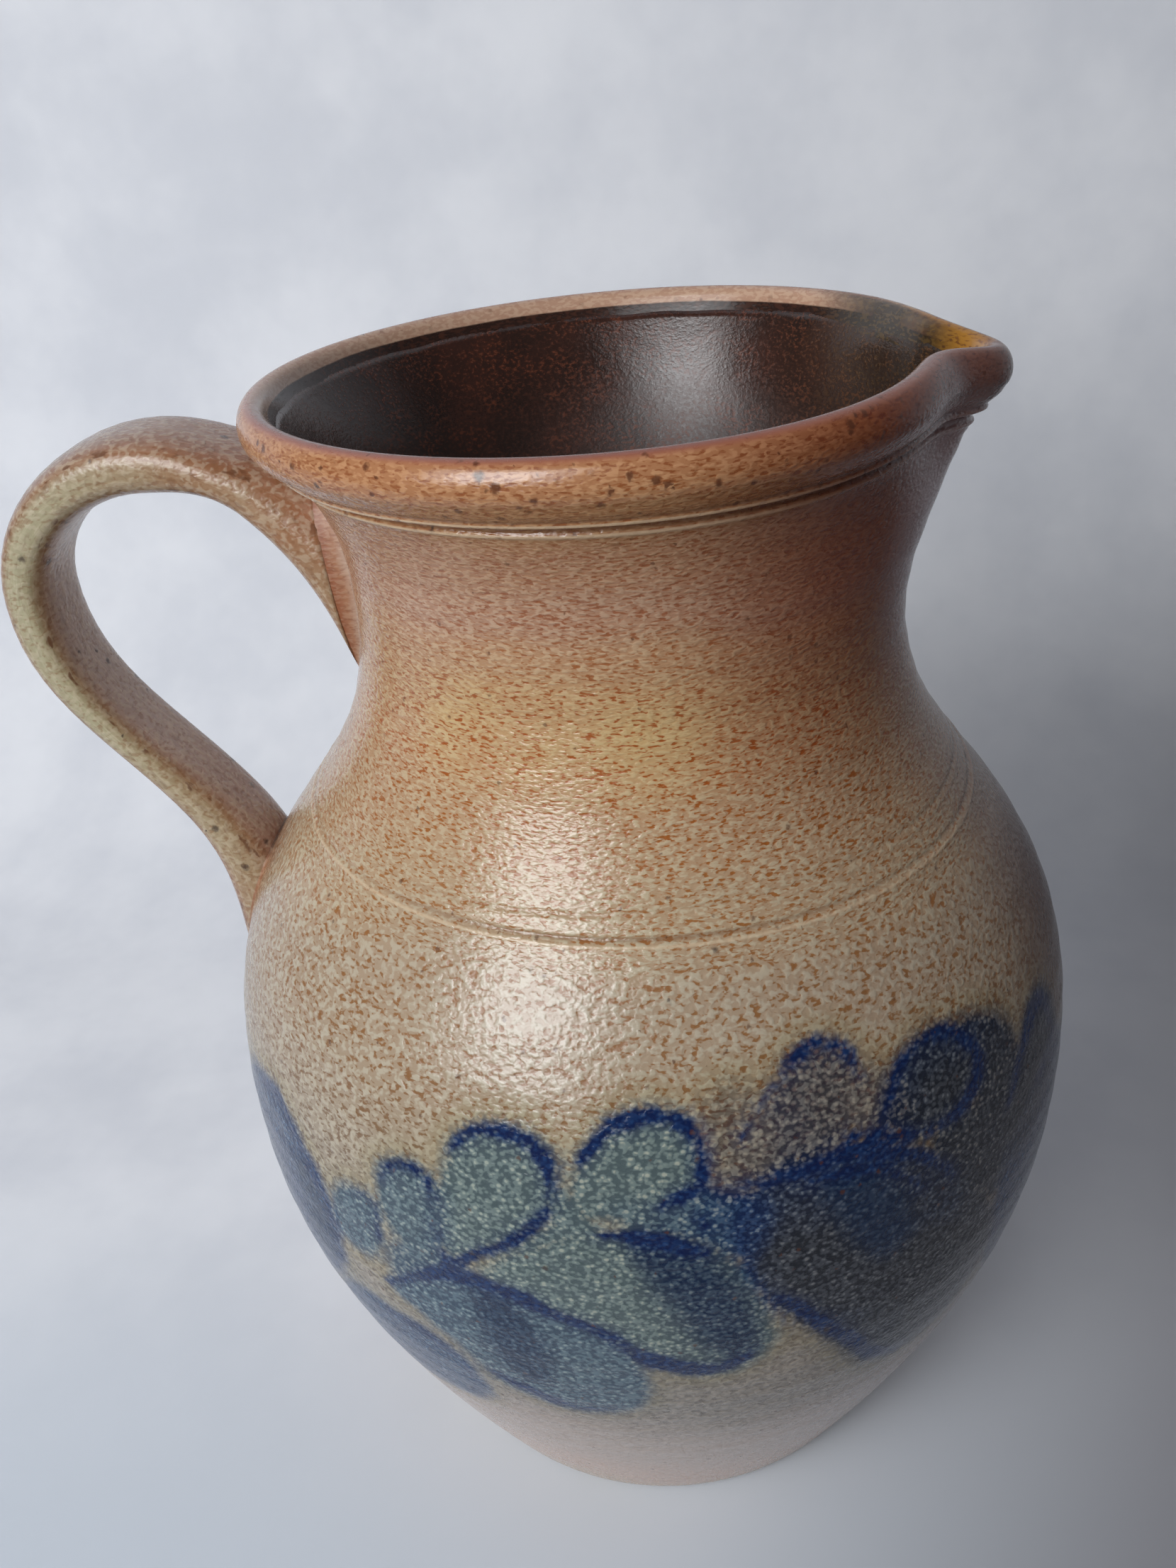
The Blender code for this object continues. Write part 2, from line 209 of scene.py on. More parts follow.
def bodyProfile():
    foot, chamfer, ring = pot["foot"][0], pot["footChamfer"], pot["floorRing"]
    base = [(0.0, 0.0), (ring, 0.0), (ring * 2, 0.0)]
    base += [(foot - chamfer * 1.25, 0.0), (foot - chamfer * 0.7, 0.00015)]
    lines = [cut[0] for cut in pot["cutLines"]]
    heights = np.unique(np.round(np.concatenate([
        np.arange(chamfer * 0.5, underRim[0][1] / 1000 - 0.0003, pot["sideStep"]),
        np.arange(min(lines) - 0.0025, max(lines) + 0.0025, pot["lineStep"]),
    ]), 5))
    side = [(float(sideRadius(z)) - max(0.0, chamfer * 0.35 - z * 0.2), float(z)) for z in heights]
    rim = [(r / 1000, z / 1000) for r, z in underRim]
    bead = [beadPoint(a) for a in np.linspace(-pot["beadWrap"], pot["lipFrom"], pot["beadSteps"])]
    inner = innerCurve(pot["innerSteps"])[-2::-1]
    floor = [(ring, pot["floor"][1]), (0.0, pot["floor"][1])]
    return base + side + rim + bead + inner + floor


def fingerShaped(points):  # the spout pulled out, pinched beside it, and the rim lifted on that side
    x, y, z = points.T
    weight = smoothShare(pot["rim"][1] - spout["reach"], pot["rim"][1], z)
    turn = np.degrees(np.arctan2(y, x))
    radius = np.maximum(np.hypot(x, y), 1e-6)
    pull = np.exp(-((turn / spout["spread"]) ** 2))
    far = 1 - (1 - spout["farPinch"]) * smoothShare(4, 20, turn)
    pinch = np.exp(-((turn / spout["pinchSpread"]) ** 2)) * far
    high = (z - spout["throatAt"]) / spout["throatHalf"]
    throat = np.exp(-high ** 2 - (turn / spout["throatSpread"]) ** 2)
    out = weight * (spout["pull"] * pull - spout["pinch"] * pinch) + spout["throat"] * throat
    scale = 1 + out / radius
    lift = weight * (spout["rimRise"] * x / pot["rim"][0] - spout["dip"] * pull)
    return np.column_stack([x * scale, y * scale, z + lift])


def crowdedToSpout(points):
    turn = np.arctan2(points[:, 1], points[:, 0])
    radius = np.hypot(points[:, 0], points[:, 1])
    turn = turn - spout["crowding"] * np.sin(turn)
    return np.column_stack([radius * np.cos(turn), radius * np.sin(turn), points[:, 2]])


def wheelMarks(points):  # throwing rings, the lines cut round the shoulder, the ridges under the rim
    x, y, z = points.T
    turn = np.arctan2(y, x)
    radius = np.maximum(np.hypot(x, y), 1e-6)
    outside = smoothShare(-0.0016, -0.0008, radius - sideRadius(z)) * (z > 0.003) * (z < 0.2155)
    spiral = math.tau * z / pot["wheelRingPitch"] + turn
    rings = np.sin(spiral) + 0.6 * np.sin(spiral * 0.43 + 1.3) - 1.6  # pressed in only
    move = pot["wheelRings"] * rings * smoothShare(0.02, 0.05, z)
    tooled = np.zeros(len(points))
    below, wide, share = pot["burr"]
    waver, slant = pot["cutDrift"]
    for index, (height, depth, half) in enumerate(pot["cutLines"]):
        drift = waver * np.sin(turn * 2 + index * 2.1) + (slant * np.sin(turn + 2.4) if index else 0)
        away = (z - height - drift) / half
        press = 1 + pot["cutPress"] * np.sin(turn * 3 + index)
        groove, burr = press * np.exp(-away ** 2), np.exp(-((away + below) / wide) ** 2)
        move = move + depth * (share * burr - groove)
        tooled = tooled + 0.8 * depth / pot["cutLines"][0][1] * (burr - 0.8 * groove)
    for height, proud in pot["fineRidges"]:
        ridge = np.exp(-((z - height - 0.0002 * np.sin(turn + height * 9000)) / pot["ridgeHalf"]) ** 2)
        move, tooled = move + proud * ridge, tooled + 3500 * proud * ridge
    scale = 1 + outside * move / radius
    return np.column_stack([x * scale, y * scale, z]), tooled * outside


def throwBody():
    bm = bmesh.new()
    spinProfile(bm, bodyProfile(), pot["steps"])
    mesh = meshFrom("thrownBody", bm)
    points = meshPoints(mesh)
    radius = np.hypot(points[:, 0], points[:, 1])
    high, wide = pot["beadHigh"] / 2, pot["beadWide"] / 2
    lip = np.degrees(np.arctan2((points[:, 2] - beadCentre[1]) / high, (radius - beadCentre[0]) / wide))
    lip = np.where(lip < -pot["beadWrap"] - 1, lip + 360, lip)
    outside = radius > sideRadius(points[:, 2]) - pot["skin"]
    lip = np.where(points[:, 2] > pot["lipLow"], lip, np.where(outside, -60, 200))  # past the bead's ends
    putValues(mesh, "lip", lip)
    putValues(mesh, "level", points[:, 2])
    collar = np.array(underRim + ((63.2, 223.0), (64.0, 224.0))) / 1000
    pale = np.interp(points[:, 2], collar[:, 1], ridgeGlazeAndShading, left=0, right=0)
    points, tooled = wheelMarks(crowdedToSpout(points))
    putValues(mesh, "tooled", tooled + np.where(radius > beadCentre[0] - 0.006, pale, 0))
    putPoints(mesh, fingerShaped(points))
    return mesh


# Leaves are (degrees round, mm up) outlines, strokes are (degrees, mm up, half width mm).
brush = {"mmPerDegree": 1.4, "reach": 8.0, "smooth": 6, "fullness": 0.62, "bleed": 2.5, "bloom": 3.0}
leaves = (  # tone from green-grey through blue to navy, with a dark grey at 1 that is painted shade for the leaves turned from the window, how solid, outline
    (1.0, 1.0, ((-60, 122), (-57.5, 128), (-52, 131.5), (-47, 130.5), (-43.3, 126), (-43, 121), (-46, 117),
        (-50, 115.5), (-56, 117))),
    (1.0, 0.62, ((-79, 117), (-77.5, 124), (-74, 130), (-70, 135), (-66.5, 136.5), (-62, 135), (-60.5, 131),
        (-61, 126), (-64, 121), (-70, 117))),
    (0.10, 0.85, ((-96, 117), (-95, 123), (-92, 128.5), (-88, 131), (-84, 130.5), (-81, 127), (-80.6, 122),
        (-81.5, 116), (-83, 111), (-88, 112), (-94, 113))),
    (0.12, 0.95, ((-111, 118), (-110.5, 122), (-108, 125.5), (-104, 127), (-100, 126), (-98, 122),
        (-97.5, 117), (-98.8, 112), (-102, 108), (-107, 103), (-111, 100), (-112, 107))),
    (0.24, 0.95, ((-121, 110), (-120, 113.5), (-117, 116), (-114, 115.5), (-112.3, 112.5), (-112, 107),
        (-112.5, 101), (-114, 96), (-118, 98), (-120.5, 104))),
    (0.28, 0.9, ((-130, 97), (-128.5, 102), (-125.5, 105), (-122.5, 105.5), (-121, 102.5), (-121.5, 97),
        (-123, 92), (-126, 89), (-129.5, 91))),
    (0.70, 1.0, ((-158, 98), (-152, 108), (-147, 111), (-142, 112.5), (-137, 108), (-133, 103),
        (-130.5, 96), (-130.5, 86), (-133, 77), (-139, 68), (-148, 64), (-156, 72))),
    (0.34, 0.95, ((-121.5, 85), (-116, 92), (-111, 95.5), (-105, 95), (-98, 91), (-92, 85.5), (-89.5, 78),
        (-89, 70), (-90.5, 64), (-95, 60.5), (-100, 60.5), (-106, 64), (-109.5, 68), (-112, 74),
        (-117, 80))),
    (0.10, 0.88, ((-104, 103), (-98, 108), (-92, 110.8), (-86, 110.8), (-81, 107.5), (-77.5, 101),
        (-75, 92), (-73.6, 84), (-75.5, 78.5), (-80, 75), (-85, 76.5), (-89.5, 82), (-94, 88), (-100, 92.5),
        (-107, 97))),
    (0.98, 0.95, ((-78, 112), (-74, 118.5), (-66, 120), (-58, 117), (-51, 110), (-45, 99), (-41, 88),
        (-40, 77), (-42, 67), (-47, 60.5), (-53, 59.5), (-58, 62), (-62, 68), (-66, 77), (-70, 85),
        (-74, 92), (-77, 101))),
    (1.0, 1.0, ((-40, 108), (-35, 118), (-29, 123), (-24.5, 121), (-22, 113), (-25, 104), (-31, 96),
        (-37, 97))),
    (0.60, 0.9, ((-131, 74), (-124, 74.8), (-118, 74), (-113.8, 71), (-112, 65), (-111.5, 58.5),
        (-113, 53.5), (-117, 50), (-122, 48), (-129, 46), (-136, 48), (-138, 58), (-136, 68))),
    (0.14, 0.9, ((-100, 117), (-97, 118), (-94.5, 114), (-92, 110), (-98, 107), (-106, 102),
        (-101.5, 107.5), (-98.5, 112))),
    (0.50, 0.8, ((-84, 117), (-80, 119), (-76, 117), (-74, 111), (-76.5, 103), (-81, 107), (-86, 111))),
    (0.30, 0.75, ((-121, 93), (-118, 99), (-112, 100), (-109, 96), (-114, 91), (-120, 87))),
    (0.30, 0.85, ((-92, 115), (-84, 116), (-82, 111), (-88, 109.5))),
    (0.35, 0.8, ((-113.5, 112), (-111, 113), (-111, 103), (-114, 98))),
    (1.0, 0.40, ((-81, 130), (-78, 133), (-74, 131), (-74, 119), (-79, 117), (-81.5, 123))),
    (1.0, 0.85, ((-46, 129), (-41, 129), (-36, 123), (-36, 106), (-40, 92), (-46, 98), (-53, 112),
        (-50, 118), (-45, 116))),
    (1.0, 0.45, ((-62, 131), (-58, 130), (-55, 124), (-56, 119), (-62, 120), (-64, 125))),
)
strokes = (
    ((-59, 122.5, 0.8), (-56, 128.5, 1.0), (-51.5, 130.8, 1.2), (-47, 129.6, 1.6), (-44, 125, 2.0),
        (-44, 120.5, 2.0), (-47.5, 117, 1.4), (-53, 116, 1.2)),
    ((-76.5, 125.5, 0.1), (-72.8, 131, 0.4), (-69.6, 134.6, 0.9), (-67.5, 136, 1.2), (-65, 136, 1.3),
        (-62.3, 134, 1.1), (-61, 130, 0.4)),
    ((-95, 122, 0.6), (-92, 127.6, 1.6), (-88.5, 129.8, 1.9), (-84.5, 129.6, 1.8), (-81.8, 126.6, 1.5),
        (-81, 122, 1.1), (-82, 117.5, 1.0)),
    ((-86.5, 115, 0.8), (-83.5, 117, 1.4), (-81, 118, 0.6)),
    ((-82, 113.5, 0.9), (-81.2, 111, 0.7)),
    ((-110.6, 120.5, 0.7), (-108, 125, 1.5), (-104.5, 126, 2.0), (-100.5, 125, 1.9), (-98.6, 121.5, 1.5),
        (-98, 117, 1.2), (-98.8, 113, 1.1), (-101.5, 108.5, 1.3), (-105, 104.3, 1.1), (-108.5, 101, 1.0),
        (-110.5, 98, 0.8)),
    ((-120.6, 110, 0.4), (-119, 113.8, 0.8), (-116.5, 115.4, 1.0), (-114, 114.8, 1.0), (-112.8, 112, 0.9),
        (-112.4, 107, 0.7), (-112.8, 101, 0.5)),
    ((-124.5, 104.6, 0.3), (-122.4, 104.8, 0.6), (-121.4, 102, 0.6), (-122, 96, 0.3)),
    ((-112.6, 100.5, 0.7), (-111.4, 98, 1.1), (-112.4, 95.5, 0.8)),
    ((-148, 108.5, 0.6), (-142, 111.2, 1.3), (-138, 107.2, 1.4), (-135, 102.6, 1.2), (-132, 97, 0.9),
        (-131, 90, 0.6)),
    ((-122, 84.6, 0.7), (-117, 90.4, 1.4), (-112, 94.6, 2.4), (-105.5, 94.8, 2.6), (-98.5, 91, 2.0),
        (-93, 87, 1.7), (-90, 82.8, 2.2), (-87, 79.4, 3.0), (-83, 76.8, 3.2), (-79.5, 77, 2.2),
        (-76.5, 79.4, 1.2)),
    ((-109.5, 68.4, 1.2), (-106, 66.4, 2.1), (-102.8, 63.6, 2.0), (-99, 61.4, 1.3), (-94, 61.4, 0.7)),
    ((-92.5, 110.0, 1.2), (-88, 109.4, 2.0), (-84.5, 107.8, 2.2), (-81.5, 106, 1.6)),
    ((-78.5, 117.6, 0.5), (-70.5, 117.8, 1.5), (-66, 119, 2.0), (-61.5, 117.6, 2.2), (-57, 114.6, 1.8),
        (-53, 110.6, 1.3), (-49.5, 104.5, 0.7)),
    ((-63.5, 121.5, 1.5), (-60, 119.4, 1.6), (-55.5, 117, 1.2)),
    ((-69, 115.4, 0.6), (-63, 115, 0.9), (-58, 111, 0.8), (-54.5, 106, 0.4)),
    ((-73.4, 93, 0.9), (-70.5, 89, 1.5), (-68, 84, 1.7), (-65.4, 79, 1.9), (-62.8, 74, 2.0),
        (-60.4, 68.6, 2.0), (-57.5, 64, 2.0), (-53.5, 60.5, 1.4)),
    ((-38.5, 110, 0.6), (-34.5, 117, 1.6), (-29, 121, 2.2), (-25.5, 119, 2.0), (-24, 112, 1.2)),
    ((-125, 73.8, 0.6), (-119, 73, 1.3), (-115.4, 70.6, 1.3), (-113.5, 66, 1.0), (-113, 60, 0.6)),
)
blooms = (  # wide soft pools of blue inside the leaves
    ((-106.5, 91, 3.0), (-104.8, 84, 4.2), (-104, 77, 4.2), (-103, 71.5, 2.6)),
    ((-87, 107, 3.0), (-83.5, 101, 4.4), (-81, 94.5, 4.6), (-79, 87, 4.2), (-78, 82, 3.0)),
    ((-64, 112.5, 3.6), (-61, 106, 4.2), (-59, 99, 3.4)),
    ((-136, 98, 2.6), (-135, 90, 3.2), (-136, 82, 2.6)),
)
garland = (  # the run of leaves repeats round the back: turn, mirrored about, height
    (0, None, 0.0), (118, None, -1.5), (0, -163, 1.0),
)


def flowing(points, closed):  # a smooth line through the points
    dots = np.array(points, dtype=float)
    count = len(dots)
    ends = count if closed else count - 1
    steps = np.linspace(0, 1, brush["smooth"], endpoint=False)[:, None]
    line = []
    for i in range(ends):
        pick = [(i + k) % count if closed else min(max(i + k, 0), count - 1) for k in (-1, 0, 1, 2)]
        a, b, c, d = dots[pick]
        line.append(
            b + 0.5 * steps * (c - a + steps * (2 * a - 5 * b + 4 * c - d + steps * (3 * (b - c) + d - a)))
        )
    if not closed:
        line.append(dots[-1:])
    return np.concatenate(line)


def nearest(spots, line, closed):  # distance to a line, and where along it
    starts, ends = (line, np.roll(line, -1, axis=0)) if closed else (line[:-1], line[1:])
    best = np.full(len(spots), 1e9)
    where = np.zeros(len(spots))
    for index, (a, b) in enumerate(zip(starts, ends)):
        run = b[:2] - a[:2]
        share = np.clip(((spots - a[:2]) @ run) / max(run @ run, 1e-9), 0, 1)
        gap = np.hypot(*(spots - a[:2] - share[:, None] * run).T)
        closer = gap < best
        best[closer], where[closer] = gap[closer], (index + share)[closer]
    return best, where


def insideOf(spots, line):
    inside = np.zeros(len(spots), dtype=bool)
    for a, b in zip(line, np.roll(line, -1, axis=0)):
        crosses = (a[1] > spots[:, 1]) != (b[1] > spots[:, 1])
        rise = b[1] - a[1] if b[1] != a[1] else 1e-9
        inside ^= crosses & (spots[:, 0] < a[0] + (b[0] - a[0]) * (spots[:, 1] - a[1]) / rise)
    return inside


def placedMark(points, turn, mirror, rise):
    moved = np.array(points, dtype=float)
    moved[:, 0] = moved[:, 0] + turn if mirror is None else 2 * mirror - moved[:, 0]
    moved[:, 1] += rise
    return moved


def pointsNear(turns, heights, mark, closed):  # the points round a mark, in mm from its own middle
    line = flowing(mark, closed)
    middle = line[:, 0].mean()
    flat = (turns - middle + 180) % 360 - 180
    spots = np.column_stack([flat * brush["mmPerDegree"], heights])
    line[:, 0] = (line[:, 0] - middle) * brush["mmPerDegree"]
    low, high = line[:, :2].min(0) - brush["reach"], line[:, :2].max(0) + brush["reach"]
    near = np.where(((spots > low) & (spots < high)).all(1))[0]
    return near, spots[near], line, *nearest(spots[near], line, closed)


def brushMarks(mesh):
    points = meshPoints(mesh)
    turns = np.degrees(np.arctan2(points[:, 1], points[:, 0]))
    heights = points[:, 2] * 1000
    outside = np.hypot(points[:, 0], points[:, 1]) > sideRadius(points[:, 2]) - pot["skin"]
    count = len(points)
    wash, dark = np.full(count, -brush["reach"]), np.full(count, -brush["reach"])
    tone, solid, shares, bloom = (np.zeros(count) for layer in range(4))
    for turn, mirror, rise in garland:
        for hue, strength, outline in leaves:
            mark = placedMark(outline, turn, mirror, rise)
            near, spots, line, gap, where = pointsNear(turns, heights, mark, True)
            depth = np.where(insideOf(spots, line), gap, -gap)
            share = smoothShare(-brush["bleed"], brush["bleed"], depth)
            wash[near] = np.maximum(wash[near], depth)
            tone[near] += hue * share
            solid[near] += strength * share
            shares[near] += share
        for marks, soft in ((strokes, False), (blooms, True)):
            for mark in marks:
                mark = placedMark(mark, turn, mirror, rise)
                near, spots, line, gap, where = pointsNear(turns, heights, mark, False)
                half = np.interp(where, np.arange(len(line)), line[:, 2])
                if soft:
                    bloom[near] = np.maximum(bloom[near], 1 - smoothShare(0.0, brush["bloom"], gap / half))
                else:
                    dark[near] = np.maximum(dark[near], half * brush["fullness"] - gap)
    wash[~outside] = dark[~outside] = -brush["reach"]
    bloom[~outside] = 0
    tone, solid = tone / np.maximum(shares, 1e-6), solid / np.maximum(shares, 1e-6)
    layers = {"leafWash": wash, "leafTone": tone, "leafSolid": solid, "leafDark": dark, "leafBloom": bloom}
    for name, values in layers.items():
        putValues(mesh, name, values)


handle = {
    # back and palm sides: metres out, metres up, heading in degrees
    "back": ((0.0535, 0.2145, 12), (0.0660, 0.2176, 15), (0.0850, 0.2217, 0), (0.1166, 0.1910, -90),
             (0.0905, 0.1442, -121), (0.0836, 0.1040, -94)),
    "palm": ((0.0493, 0.1733, 74), (0.0675, 0.2062, 44), (0.0845, 0.2108, 0), (0.1074, 0.1910, -90),
             (0.0828, 0.1489, -130), (0.0715, 0.1300, -105)),
    "widths": (0.030, 0.026, 0.024, 0.0205, 0.0200, 0.0225),
    "square": (2.3, 2.5, 2.9, 2.9, 2.8, 2.4),   # 2 is an oval section, more is boxier
    "fullness": 0.38, "spanSteps": 14, "ringPoints": 48,
}


def sideOf(stations):
    line = []
    for (x0, z0, h0), (x1, z1, h1) in zip(stations, stations[1:]):
        start, end = at(x0, z0), at(x1, z1)
        pull = handle["fullness"] * (end - start).length
        span = bezierSpan(start, heading(h0, pull), heading(h1, -pull), end, handle["spanSteps"])
        line += span if not line else span[1:]
    return line


def alongHandle(values, index):
    share = index / handle["spanSteps"]
    return float(np.interp(share, range(len(values)), values))


def handleRings():
    backs, palms = sideOf(handle["back"]), sideOf(handle["palm"])
    count = handle["ringPoints"]
    rings, local, length = [], [], 0.0
    for index, (back, palm) in enumerate(zip(backs, palms)):
        middle, across = (back + palm) / 2, (back - palm)
        if index:
            length += (middle - lastMiddle).length
        lastMiddle = middle
        power = 2 / alongHandle(handle["square"], index)
        half = alongHandle(handle["widths"], index) / 2
        ring, spots = [], []
        for step in range(count):
            angle = math.tau * step / count
            c, s = math.cos(angle), math.sin(angle)
            side = math.copysign(abs(c) ** power, c) * half
            deep = math.copysign(abs(s) ** power, s)
            place = middle + across * deep / 2
            ring.append(Vector((-place.x, -side, place.z)))
            spots.append((side, deep, length))
        rings.append(ring)
        local.append(spots)
    return rings, local


def pullHandle():
    rings, local = handleRings()
    bm = bmesh.new()
    loops = []
    for ring in rings:
        verts = bmesh.ops.create_circle(bm, segments=len(ring), radius=1.0)["verts"]
        for vert, place in zip(verts, ring):
            vert.co = place
        loops.append(verts)
    loopEdges = [list({e for v in verts for e in v.link_edges}) for verts in loops]
    for first, second in zip(loopEdges, loopEdges[1:]):
        bmesh.ops.bridge_loops(bm, edges=first + second)
    for end in (loopEdges[0], loopEdges[-1]):
        bmesh.ops.edgeloop_fill(bm, edges=end)
    mesh = meshFrom("pulledHandle", bm)
    putValues(mesh, "strap", np.concatenate(local))  # metres across, -1 palm to 1 back, metres along
    return mesh, rings


slip = {  # how far the smeared slip reaches at the strap's sides, back and palm
    "upper": {"side": 0.0022, "back": 0.0012, "palm": 0.0014, "onWall": 0.5},
    "lower": {"side": 0.0016, "back": 0.0024, "palm": 0.0007, "onWall": 0.9},
    "sink": 0.00025, "steps": 9, "lump": 0.12, "round": 0.55, "deep": 0.0009, "behind": -0.030,
}


def outOfBody(place):  # how far a point is outside the body's side
    low = float(smoothShare(pot["rim"][1] - spout["reach"], pot["rim"][1], place.z))
    lift = low * spout["rimRise"] * place.x / pot["rim"][0]
    return math.hypot(place.x, place.y) - float(sideRadius(place.z - lift))


def onBody(place, proud):
    away = place.copy()
    for again in range(3):
        flat = Vector((away.x, away.y, 0.0)).normalized()
        away -= flat * (outOfBody(away) - proud)
    return away


def walkLine(line, start, share, distance):  # a point that far up a line of the handle
    place = line[start].lerp(line[start + 1], share)
    index = start
    while distance > 0 and index + 2 < len(line):
        step = (line[index + 1] - place).length
        if step >= distance:
            return place.lerp(line[index + 1], distance / step)
        distance -= step
        index += 1
        place = line[index]
    return place


def slipJoint(name, rings, reaches):
    count = len(rings[0])
    bm = bmesh.new()
    sections, wallEdge, seam = [], [], []
    for step in range(count):
        line = [ring[step] for ring in rings]
        start = next(i for i in range(len(line) - 1) if outOfBody(line[i + 1]) > 0)
        a, b = outOfBody(line[start]), outOfBody(line[start + 1])
        share = min(max(a / (a - b), 0.0), 1.0)
        meet = line[start].lerp(line[start + 1], share)
        angle = math.tau * step / count
        c, s = math.cos(angle), math.sin(angle)
        lump = 1 + slip["lump"] * (0.6 * math.sin(angle * 5 + 0.7) + 0.4 * math.sin(angle * 11 + 2.0))
        reach = (reaches["side"] * c * c + reaches["back" if s > 0 else "palm"] * s * s) * lump
        near = line[start + 1]
        centre = sum(rings[start + 1], Vector()) / count
        away = (near - centre).normalized()
        bodyNormal = Vector((meet.x, meet.y, 0.0)).normalized()
        sideways = (away - bodyNormal * away.dot(bodyNormal)).normalized()
        onWall = onBody(meet + sideways * reach * reaches["onWall"], -slip["sink"])
        onStrap = walkLine(line, start, share, reach) - away * slip["sink"]
        deep = meet - bodyNormal * slip["deep"] - away * slip["deep"]
        pulls = [end.lerp(meet, slip["round"]) for end in (onWall, onStrap)]
        arc = interpolate_bezier(onWall, *pulls, onStrap, slip["steps"])
        sections.append([bm.verts.new(p) for p in (*arc, deep)])
        wallEdge.append(onWall)
        seam += [(i / (slip["steps"] - 1), s, 0.0) for i in range(slip["steps"])] + [(0.5, s, 0.0)]
    loops = [[bm.edges.new(pair) for pair in zip(line, line[1:] + line[:1])] for line in sections]
    for first, second in zip(loops, loops[1:] + loops[:1]):
        bmesh.ops.bridge_loops(bm, edges=first + second)
    mesh = meshFrom(name, bm)
    putValues(mesh, "seam", seam)  # 0 on the wall to 1 on the strap, -1 palm to 1 back
    return mesh, np.array(wallEdge)


def markRoots(mesh, edges):  # mm from each slip joint, for the colours round them: a paler band, a rust flush and painted shade in the crevice at the tail
    points = meshPoints(mesh)
    for name, edge in edges.items():
        closed = np.vstack([edge, edge[:1]])
        fine = np.concatenate([closed[:-1] + (closed[1:] - closed[:-1]) * t for t in (0.0, 0.25, 0.5, 0.75)])
        gap = np.full(len(points), 99.0)
        near = np.where(points[:, 0] < slip["behind"])[0]
        gap[near] = [1000 * np.sqrt(((fine - place) ** 2).sum(1).min()) for place in points[near]]
        putValues(mesh, name, gap)


liner = {
    "coat": 0.0006, "sink": 0.0002, "edgeBelowRim": 0.0031, "edgeWave": 0.0004, "spoutClimb": 0.0024,
    "climb": (0.55, 0.83), "rows": 44, "steps": 240,  # its edge climbs out and up along the flare of the lip
}


def linerProfile():
    rise = [(0.0, pot["floor"][1]), (pot["floorRing"], pot["floor"][1])] + innerCurve(liner["rows"])
    line = np.array([p for p in rise if p[1] < pot["rim"][1] - liner["edgeBelowRim"]])
    run = np.gradient(line, axis=0)
    normal = np.column_stack([-run[:, 1], run[:, 0]]) / np.hypot(*run.T)[:, None]
    normal[0] = (0, 1)
    thick = liner["coat"] * (1 - np.linspace(0, 1, len(line)) ** 9)[:, None]
    inside, behind = line + normal * thick, line - normal * liner["sink"]
    inside[0, 0] = behind[0, 0] = 0.0
    return [tuple(p) for p in inside] + [tuple(p) for p in behind[::-1]]


def pourLiner():
    bm = bmesh.new()
    spinProfile(bm, linerProfile(), liner["steps"])
    mesh = meshFrom("linerGlaze", bm)
    points = meshPoints(mesh)
    top = pot["rim"][1] - liner["edgeBelowRim"]
    putValues(mesh, "belowEdge", top - points[:, 2])
    points = crowdedToSpout(points)
    turn = np.arctan2(points[:, 1], points[:, 0])
    wave = np.sin(turn * 7 + 0.4) + 0.7 * np.sin(turn * 17 + 2.0) + 0.5 * np.sin(turn * 31)
    climb = liner["edgeWave"] * wave * 0.5 + liner["spoutClimb"] * np.exp(-((turn - 0.5) / 0.3) ** 2)
    climb = climb * smoothShare(top - 0.004, top, points[:, 2])
    out, up = liner["climb"]
    flat = points[:, :2] / np.maximum(np.hypot(points[:, 0], points[:, 1]), 1e-6)[:, None]
    points = points + np.column_stack([flat * (out * climb)[:, None], up * climb])
    putPoints(mesh, fingerShaped(points))
    return mesh


def rgb(red, green, blue):  # a colour as picked on screen, in linear light
    shares = (red / 255, green / 255, blue / 255)
    return (*(c / 12.92 if c <= 0.04045 else ((c + 0.055) / 1.055) ** 2.4 for c in shares), 1.0)


def treeOf(*values):  # the node tree that the first socket among the values is in
    return next(value.id_data for value in values if isinstance(value, bpy.types.NodeSocket))


def addNode(tree, kind, sockets=(), **settings):
    node = tree.nodes.new("ShaderNode" + kind)
    for key, value in settings.items():
        setattr(node, key, value)
    for key, value in dict(sockets).items():
        if isinstance(value, bpy.types.NodeSocket):
            tree.links.new(value, node.inputs[key])
        else:
            node.inputs[key].default_value = value
    return node


def calc(operation, *values, clamp=False):
    settings = {"operation": operation, "use_clamp": clamp}
    return addNode(treeOf(*values), "Math", enumerate(values), **settings).outputs[0]


def times(first, second):
    return calc("MULTIPLY", first, second)


def swayed(value, noise, by):  # a value that wanders with a noise
    return calc("MULTIPLY_ADD", calc("SUBTRACT", noise, 0.5), by, value)


def fade(value, low, high, start=0.0, end=1.0, curve="SMOOTHSTEP"):
    sockets = {"Value": value, "From Min": low, "From Max": high, "To Min": start, "To Max": end}
    return addNode(treeOf(value), "MapRange", sockets, interpolation_type=curve).outputs[0]


def bandAt(value, middle, half):  # 1 at the middle of a band, 0 past its half width
    return fade(calc("ABSOLUTE", calc("SUBTRACT", value, middle)), 0.0, half, 1.0, 0.0)


def mixed(amount, first, second, mode="MIX"):  # colours are sockets, or red, green and blue up to 255
    first, second = (rgb(*c) if isinstance(c, tuple) else c for c in (first, second))
    sockets = {0: amount, 6: first, 7: second}
    tree = treeOf(amount, first, second)
    return addNode(tree, "Mix", sockets, data_type="RGBA", blend_type=mode).outputs[2]


def painted(colour, *coats):  # coats of amount, colour and how they mix, one over the other
    for amount, tint, *mode in coats:
        colour = mixed(amount, colour, tint, *mode)
    return colour


